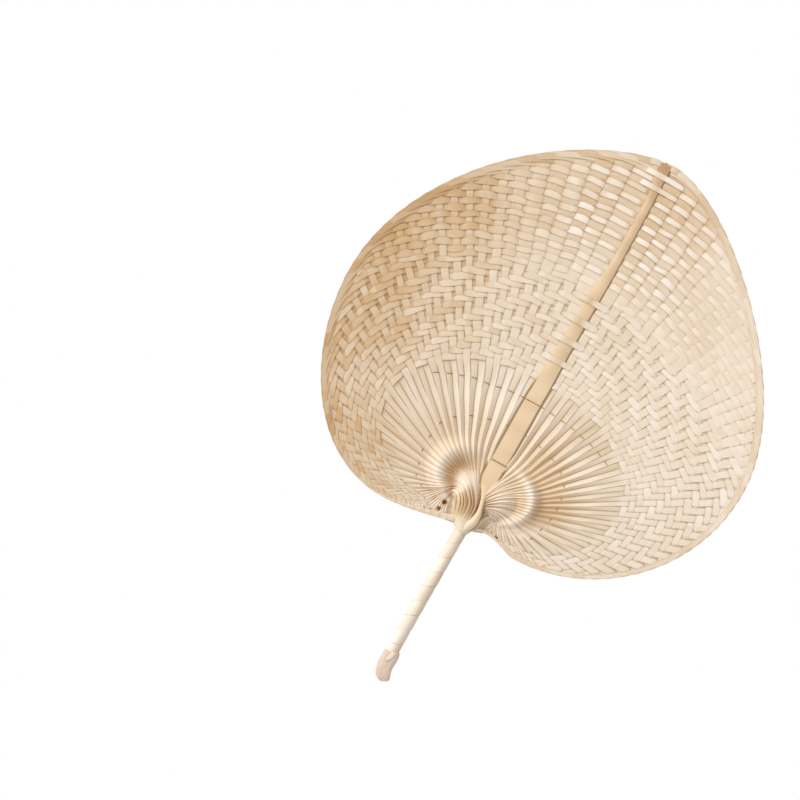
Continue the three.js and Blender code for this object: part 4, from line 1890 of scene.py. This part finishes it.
@dataclass
class Slat:
    """Flat rib up the middle of the blade, whose round foot is drawn to the right among the pleats.

    Attributes:
        halves: Half of its width, by the height.
        thickness: Its thickness.
        foot: Height of its lower end.
        full: Height at which it has its full width.
        top: Height of its upper end.
        crown: How round its front is.
        ragged: How much its left edge wavers towards the tip.
        foot_steps: Count of faces up to its full width.
        steps: Count of faces past that.
        lanes: Count of faces across it.
        middles: How far its middle lies to the right, by the height.
        foot_halves: Half of its width, below the full one.
        left_cut: How far its left edge is cut back, or lies under the strips.
        rises: How far its front stands forward, by the height.
        curls: How far its edges curl back.
        tans: Heights between which it gets more tan, with how much.
        tones: Paleness up the blade, of the foot and of the end at the tip.
    """

    halves: Stops = ((28, 7.0), (95, 7.0), (130, 5.7), (190, 5.5), (272, 4.8))
    thickness: float = 0.9
    foot: float = -11.4
    full: float = 28.0
    top: float = 271.6
    crown: float = 0.2
    ragged: float = 0.5
    foot_steps: int = 40
    steps: int = 90
    lanes: int = 20
    middles: Stops = (
        (-11.4, 1.2),
        (-8.0, 2.2),
        (-3.0, 4.0),
        (2.4, 4.6),
        (6.4, 4.1),
        (13.0, 2.5),
        (18.0, 0.9),
        (23.0, 0.0),
        (30.0, -0.3),
        (50.0, 0.0),
    )
    foot_halves: Stops = (
        (-11.4, 1.6),
        (-9.4, 3.4),
        (-6.0, 4.0),
        (-2.0, 3.5),
        (2.4, 2.6),
        (6.4, 2.0),
        (13.0, 1.8),
        (17.0, 2.4),
        (22.0, 4.9),
        (28.0, 7.0),
    )
    left_cut: Stops = ((92, 0.0), (112, 0.9), (168, 1.2), (192, 4.0), (248, 4.0), (262, 1.0))
    rises: Stops = (
        (-11.4, 4.6),
        (-9.0, 5.6),
        (-6.0, 6.6),
        (-3.0, 7.3),
        (2.4, 7.9),
        (6.4, 7.4),
        (13.0, 5.6),
        (18.0, 3.8),
        (28.0, 1.4),
        (36.0, 0.75),
        (45.0, 0.75),
        (54.0, 1.2),
        (72.0, 1.2),
        (84.0, 0.6),
        (110.0, 0.5),
    )
    curls: Stops = ((-11.4, 2.9), (-3.0, 2.6), (6.4, 1.6), (18.0, 0.8), (30.0, 0.25))
    tans: tuple[tuple[float, float, float], ...] = (
        (95.0, 120.0, 0.11),
        (180.0, 200.0, 0.06),
        (240.0, 258.0, 0.13),
    )
    tones: tuple[float, float, float] = (0.53, 0.7, 0.16)

    def half(self, height: float) -> float:
        """Half width of the slat."""
        return profile(self.halves if height > self.full else self.foot_halves, height)

    def spot(self, height: float, across: float) -> Spot:
        """Point of the slat's front.

        Args:
            height: Height above the throat.
            across: Share of the width, from the left.

        Returns:
            The point.
        """
        offset = 2 * across - 1
        middle = profile(self.middles, height) + profile(SLAT_BOW, height)
        ragged = self.ragged * math.sin(0.7 * height) * smoothstep(height, 180, 200)
        cut = profile(self.left_cut, height) + ragged
        x = middle + self.half(height) * offset + cut * (1 - across)
        curl = profile(self.curls, height)
        rise = profile(self.rises, height) + curl * (1 - offset * offset)
        rise -= curl - self.crown
        tip = smoothstep(height, self.top - 8, self.top - 6)
        foot = 1 - smoothstep(height, -6.0, 14.0)
        tan = sum(more * smoothstep(height, start, end) for start, end, more in self.tans)
        tan += 0.03 * math.sin(0.31 * height)
        # painted light and shade across the slat above about 100 mm: paler on its left, darker on
        # its right
        tan -= 0.1 * smoothstep(height, 95, 115) * (0.35 - offset)
        usual, foot_tone, tip_tone = self.tones
        paleness = lerp(lerp(usual, foot_tone, foot) - tan, tip_tone, tip)
        # painted shadow: a dark line along the right edge, and along the left edge only below about
        # 100 mm
        left_line = 1 - smoothstep(height, 95, 130)
        left_edge = lerp(1.0, self.line(-offset), left_line)
        return Spot(Vector((x, -rise, height)), paleness, min(left_edge, self.line(offset)))

    def line(self, offset: float) -> float:
        """How far a point lies inside the dark line of painted shadow at one edge, from 0 to 1."""
        return clamp(3 * (0.83 - offset))

    def build(self, finish: bpy.types.Material) -> bpy.types.Object:
        """Builds and dresses the slat.

        Args:
            finish: Its material.

        Returns:
            The finished object.
        """
        mesh = StripMesh()
        heights = [lerp(self.foot, self.full, share) for share in shares(self.foot_steps)[:-1]]
        heights += [lerp(self.full, self.top, share) for share in shares(self.steps)]
        mesh.add(heights, self.lanes, self.spot)
        piece = mesh.piece("slat_blade", self.thickness)
        return settle(piece, finish, "slat", "spine_slat")


@dataclass
class Collar:
    """Gathered sleeve between the blade and the handle."""

    top: float = COLLAR_TOP
    bottom: float = -12.8
    foot: float = 4.8
    top_half: float = 8.6
    top_depth: float = 5.0
    wall: float = 0.6
    gathers: int = 17
    gather_rise: float = 0.22
    gather_shade: float = 0.1
    tones: Span = (0.68, 0.42)
    lanes_per_gather: int = 6
    steps: int = 14

    def spot(self, at: float, across: float) -> Spot:
        """Point of the sleeve.

        Args:
            at: Share of the height.
            across: Share of a turn.

        Returns:
            The point.
        """
        turn = 2 * math.pi * across
        swell = 1 + self.gather_rise / self.foot * math.cos(self.gathers * turn) * (0.3 + 0.7 * at)
        x = lerp(self.foot, self.top_half, at * at) * math.cos(turn) * swell
        y = lerp(self.foot, self.top_depth, at) * math.sin(turn) * swell
        # painted highlight on the bulge of each gather and painted shade between them
        paleness = lerp(*self.tones, at) + self.gather_shade * math.cos(self.gathers * turn)
        return Spot(Vector((x, y, lerp(self.bottom, self.top, at))), paleness, 1.0)

    def build(self, finish: bpy.types.Material) -> bpy.types.Object:
        """Builds and dresses the sleeve.

        Args:
            finish: Its material.

        Returns:
            The finished object.
        """
        mesh = StripMesh()
        lanes = self.gathers * self.lanes_per_gather
        mesh.add(shares(self.steps), lanes, self.spot, facing=around)
        mesh.close()
        piece = mesh.piece("throat_sleeve", self.wall, HANDLE_TURN)
        return settle(piece, finish, "collar", "throat_collar")


@dataclass
class Wrap:
    """Strip wound down the stick, each turn over the edge of the next.

    It is darker on the right and paler on the left, as painted shade and painted light, and paler
    towards its end.
    """

    top: float = -1.4
    bottom: float = -106.8
    pitch: float = 11.2
    radius: float = 4.1
    end_radius: float = 4.75
    overlap: float = 0.9
    lap_rise: float = 0.28
    crown: float = 0.15
    thickness: float = 0.3
    tone: float = 0.7
    end_pale: float = 0.12
    right_shade: float = 0.34
    left_light: float = 0.1
    steps_per_turn: int = 36

    def spot(self, wound: float, across: float) -> Spot:
        """Point of the strip.

        Args:
            wound: Count of turns from its start.
            across: Share of the width, from its upper edge.

        Returns:
            The point.
        """
        turn = math.pi - 2 * math.pi * wound
        upper = self.top - self.pitch * wound
        height = upper - across * min(self.pitch + self.overlap, upper - self.bottom)
        down = clamp((self.top - height) / (self.top - self.bottom))
        radius = lerp(self.radius, self.end_radius, down * down)
        radius += self.lap_rise * across + self.crown * roundness(across)
        blotch = 0.07 * math.sin(5 * wound) + 0.06 * math.sin(2 * math.pi * wound * 1.37 + 2)
        # painted shade on the right of the stick and painted light on its left
        right = max(0.0, math.cos(turn))
        blotch -= self.right_shade * right * (0.6 + 0.4 * math.sin(2.3 * wound))
        blotch += self.left_light * max(0.0, -math.cos(turn))
        # painted shade: dark lines along the strip's edges, strongest at its lower edge where it
        # laps over the next turn
        faint = 0.16 + 0.12 * math.sin(3.1 * wound)
        edge = min(1.0, 6 * (1 - across) + faint, 5 * across + 0.4)
        place = Vector((radius * math.cos(turn), radius * math.sin(turn), height))
        return Spot(place, self.tone + self.end_pale * down + blotch, edge)

    def build(self, finish: bpy.types.Material) -> bpy.types.Object:
        """Builds and dresses the wrap.

        Args:
            finish: Its material.

        Returns:
            The finished object.
        """
        mesh = StripMesh()
        turns = (self.top - self.bottom - 1) / self.pitch
        steps = round(turns * self.steps_per_turn)
        mesh.add([turns * k / steps for k in range(steps + 1)], 4, self.spot, facing=around)
        piece = mesh.piece("wrap_strip", self.thickness, HANDLE_TURN)
        return settle(piece, finish, "wrap", "handle_wrap")


@dataclass
class ButtTag:
    """Folded pad at the end of the handle and the tail of the wrap that is tucked over it."""

    top: float = -105.8
    turn: float = math.radians(10)
    squareness: float = 0.62
    rings: int = 24
    sides: int = 40
    lefts: Stops = (
        (0.0, 4.7),
        (2.2, 5.0),
        (6.5, 5.8),
        (10.8, 6.2),
        (15.1, 5.8),
        (18.6, 4.7),
        (21.2, 2.0),
        (21.9, 0.1),
    )
    rights: Stops = (
        (0.0, 5.7),
        (1.5, 6.3),
        (5.7, 6.0),
        (9.7, 5.1),
        (13.4, 4.7),
        (16.2, 5.0),
        (18.8, 5.5),
        (20.0, 5.1),
        (21.3, 2.6),
        (21.9, 0.1),
    )
    depths: Stops = ((0.0, 4.7), (4.3, 4.75), (10.8, 4.3), (17.3, 3.5), (20.5, 2.3), (21.9, 0.9))
    tail_width: float = 3.6
    tail_length: float = 8.0
    tail_start: float = 2.0
    tail_turn: float = math.radians(-14)
    tail_thickness: float = 0.3
    tail_steps: int = 14

    def build(
        self, finish: bpy.types.Material, tail_finish: bpy.types.Material
    ) -> list[bpy.types.Object]:
        """Builds and dresses the pad and the tail."""
        return [self.pad(finish), self.tail(tail_finish)]

    def pad_spot(self, down: float, across: float) -> Spot:
        """Point of the pad.

        Args:
            down: Distance from its top.
            across: Share of the way round.

        Returns:
            The point.
        """
        turn = 2 * math.pi * across
        cosine, sine = math.cos(turn), math.sin(turn)
        left, right = profile(self.lefts, down), profile(self.rights, down)
        x = math.copysign(abs(cosine) ** self.squareness, cosine) * (right if cosine > 0 else left)
        y = math.copysign(abs(sine) ** self.squareness, sine) * profile(self.depths, down)
        return Spot(Vector((x, y, -down)), 0.7, 1.0)

    def pad(self, finish: bpy.types.Material) -> bpy.types.Object:
        """Builds and dresses the pad.

        Args:
            finish: Its material.

        Returns:
            The finished object.
        """
        mesh = StripMesh()
        length = self.lefts[-1][0]
        downs = [length * math.sin(math.pi / 2 * k / self.rings) for k in range(self.rings + 1)]
        mesh.add(downs, self.sides, self.pad_spot, facing=around)
        mesh.close()
        bm = mesh.bm
        bmesh.ops.holes_fill(bm, edges=bm.edges[:], sides=self.sides + 1)
        bmesh.ops.recalc_face_normals(bm, faces=bm.faces[:])
        bmesh.ops.rotate(bm, verts=bm.verts[:], matrix=Matrix.Rotation(-self.turn, 3, "Y"))
        bmesh.ops.translate(bm, verts=bm.verts[:], vec=(0, 0, self.top))
        piece = mesh_piece(bm, "butt_pad", HANDLE_TURN)
        return settle(piece, finish, "tag", "butt_tag")

    def tail_spot(self, at: float, across: float) -> Spot:
        """Point of the tail.

        Args:
            at: Share of the length.
            across: Share of the width, from the left.

        Returns:
            The point.
        """
        sine, cosine = math.sin(self.tail_turn), math.cos(self.tail_turn)
        narrow = 1 - 0.85 * smoothstep(at, 0.55, 1.0)
        side = (across - 0.5) * self.tail_width * narrow
        down = self.tail_length * at
        x = self.tail_start + side * cosine + down * sine
        z = self.top - down * cosine + side * sine
        rise = profile(self.depths, down * cosine) + 0.35 + 0.25 * roundness(across)
        return Spot(Vector((x, -rise, z)), 0.78, inwardness(across))

    def tail(self, finish: bpy.types.Material) -> bpy.types.Object:
        """Builds and dresses the tail.

        Args:
            finish: Its material.

        Returns:
            The finished object.
        """
        mesh = StripMesh()
        mesh.add(shares(self.tail_steps), 4, self.tail_spot)
        piece = mesh.piece("tail_strip", self.tail_thickness, HANDLE_TURN)
        return settle(piece, finish, "wrap", "wrap_tail")


# Studio


@dataclass(frozen=True)
class Studio:
    """Camera, soft light, white surroundings and a plain pale floor."""

    view_x: float = -0.0789
    view_z: float = 0.0452
    right: Vector = field(default_factory=lambda: Vector((0.8759, 0.0, 0.4825)))
    distance: float = 2.2
    lens: float = 146.5
    sensor: float = 36.0
    ambient: float = 0.62
    key_power: float = 16.0
    key_size: float = 0.9
    key_colour: tuple[float, float, float] = (1.0, 0.97, 0.93)
    key_place: Vector = field(default_factory=lambda: Vector((-1.15, -0.75, 0.55)))
    key_aim: Vector = field(default_factory=lambda: Vector((0, 0, 0.15)))
    floor_height: float = -0.5
    floor_half: float = 0.5
    floor_glow: float = 0.24
    floor_colour: Colour = colour(244, 243, 240)
    floor_roughness: float = 0.9
    white: Colour = (1.0, 1.0, 1.0, 1.0)

    def camera(self) -> None:
        """Sets the camera at the photograph's viewing angle, turned with the blade."""
        back = Vector((0, -1, 0))
        right = BLADE_TURN @ self.right
        turn = Matrix((right, back.cross(right), back)).transposed().to_4x4()
        place = BLADE_TURN @ Vector((self.view_x, -self.distance, self.view_z))
        data = bpy.data.cameras.new("camera")
        data.lens = self.lens
        data.sensor_width = self.sensor
        made = put("camera", data)
        made.matrix_world = Matrix.Translation(place + Vector((0, 0, THROAT_HEIGHT * MM))) @ turn
        bpy.context.scene.camera = made

    def key(self) -> None:
        """Sets a broad lamp in front, to the upper left of the picture."""
        data = bpy.data.lights.new("key", "AREA")
        data.energy = self.key_power
        data.size = self.key_size
        data.color = self.key_colour
        turn = (self.key_aim - self.key_place).to_track_quat("-Z", "Y").to_matrix().to_4x4()
        put("key", data).matrix_world = Matrix.Translation(self.key_place) @ turn

    def seen(self, tree: bpy.types.NodeTree) -> bpy.types.NodeSocket:
        """Adds a test of whether the eye sees a place, at once or in a mirror or through glass.

        Args:
            tree: Node board that the test goes on.

        Returns:
            Socket that gives 1 where it does.
        """
        path = tree.nodes.new("ShaderNodeLightPath")
        found = path.outputs["Is Camera Ray"]
        for name in ("Is Glossy Ray", "Is Transmission Ray"):
            most = tree.nodes.new("ShaderNodeMath")
            most.operation = "MAXIMUM"
            tree.links.new(found, most.inputs[0])
            tree.links.new(path.outputs[name], most.inputs[1])
            found = most.outputs["Value"]
        return found

    def world(self) -> None:
        """Gives soft light from all sides and a white background to the eye."""
        made = bpy.data.worlds.new("white_room")
        made.use_nodes = True
        tree = made.node_tree
        tree.nodes.clear()
        soft = tree.nodes.new("ShaderNodeBackground")
        soft.inputs["Strength"].default_value = self.ambient
        white = tree.nodes.new("ShaderNodeBackground")
        for node in (soft, white):
            node.inputs["Color"].default_value = self.white
        mix = tree.nodes.new("ShaderNodeMixShader")
        tree.links.new(self.seen(tree), mix.inputs["Fac"])
        tree.links.new(soft.outputs["Background"], mix.inputs[1])
        tree.links.new(white.outputs["Background"], mix.inputs[2])
        output = tree.nodes.new("ShaderNodeOutputWorld")
        tree.links.new(mix.outputs["Shader"], output.inputs["Surface"])
        bpy.context.scene.world = made

    def floor(self) -> None:
        """Lays the floor, which is no part of the fan."""
        bm = bmesh.new()
        bmesh.ops.create_grid(bm, x_segments=1, y_segments=1, size=self.floor_half)
        bmesh.ops.translate(bm, verts=bm.verts[:], vec=(0, 0, self.floor_height))
        mesh = bpy.data.meshes.new("floor")
        bm.to_mesh(mesh)
        bm.free()
        shader = Shader("pale_floor")
        shader.surface.inputs["Base Color"].default_value = self.floor_colour
        shader.surface.inputs["Roughness"].default_value = self.floor_roughness
        shader.surface.inputs["Emission Color"].default_value = self.white
        glow = shader.math("MULTIPLY", self.seen(shader.tree), self.floor_glow)
        shader.link(glow, shader.surface.inputs["Emission Strength"])
        mesh.materials.append(shader.material)
        put("floor", mesh)

    def build(self) -> None:
        """Sets up the studio."""
        bpy.context.scene.view_settings.view_transform = "Standard"
        self.camera()
        self.key()
        self.world()
        self.floor()


def main() -> None:
    """Builds the fan's looks in order and reports each piece."""
    logging.basicConfig(level=logging.INFO, format="%(name)s: %(message)s")
    rng = random.Random(20)
    weave = Weave()
    Studio().build()
    leaf_finish = LeafFinish("dried_leaf").material()
    weft_finish = LeafFinish("cross_strip_leaf", seam_shade_share=0.5).material()
    slat_finish = LeafFinish(
        "slat_rind",
        tan=colour(205, 174, 139),
        cream=colour(237, 209, 172),
        pale=colour(246, 226, 198),
        seam_shade=colour(128, 92, 52),
        grain=0.14,
        fibres=24.0,
        seam_shade_share=0.8,
    ).material()
    wrap_finish = LeafFinish("wrap_leaf", grain=0.16, fibres=18.0, seam_shade_share=0.45).material()
    thread_finish = GrainFinish(
        "brown_thread", colour(178, 142, 96), colour(140, 106, 66)
    ).material()
    stick_finish = GrainFinish("stick_wood", colour(214, 180, 134), colour(176, 138, 92)).material()
    tag_finish = GrainFinish(
        "pad_leaf", colour(236, 214, 196), colour(220, 196, 176), streaks=(500.0, 500.0, 60.0)
    ).material()

    halves = {side: LeafHalf(side, weave, rng) for side in Side}
    wefts = sorted(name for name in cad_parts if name.startswith("weft_"))
    pieces = [half.build(leaf_finish) for half in halves.values()]
    pieces.append(CrossStrips(weave, rng).build(weft_finish, wefts))
    pieces += [EdgeFolds(side, rng).build(leaf_finish) for side in Side]
    ring_places = ((0, 0.26), (45, 0.2), (62, 0.11), (88, 0.12), (105, 0.3))
    ring = RingThread(halves, ring_places, step=4, end=40, at_slat=-0.9)
    pieces.append(ring.build("ring_thread_strand", thread_finish, "ring_thread"))
    tie_places = ((0, 0.7), (17, 0.71), (31, 0.775), (44, 0.86), (55, 0.95))
    tie = RingThread(halves, tie_places, step=2, end=16, at_slat=1.05)
    pieces.append(tie.build("upper_tie_strand", thread_finish, "spine_tie_upper"))
    pieces.append(Slat().build(slat_finish))
    pieces.append(Collar().build(leaf_finish))
    pieces.append(Wrap().build(wrap_finish))
    pieces += ButtTag().build(tag_finish, wrap_finish)
    for name, finish in (("stalk", stick_finish), ("spine_tie_lower", thread_finish)):
        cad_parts[name].data.materials.clear()
        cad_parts[name].data.materials.append(finish)
    for piece in pieces:
        log.info("%s: %d faces", piece.name, len(piece.data.polygons))


if __name__ == "__main__":
    main()
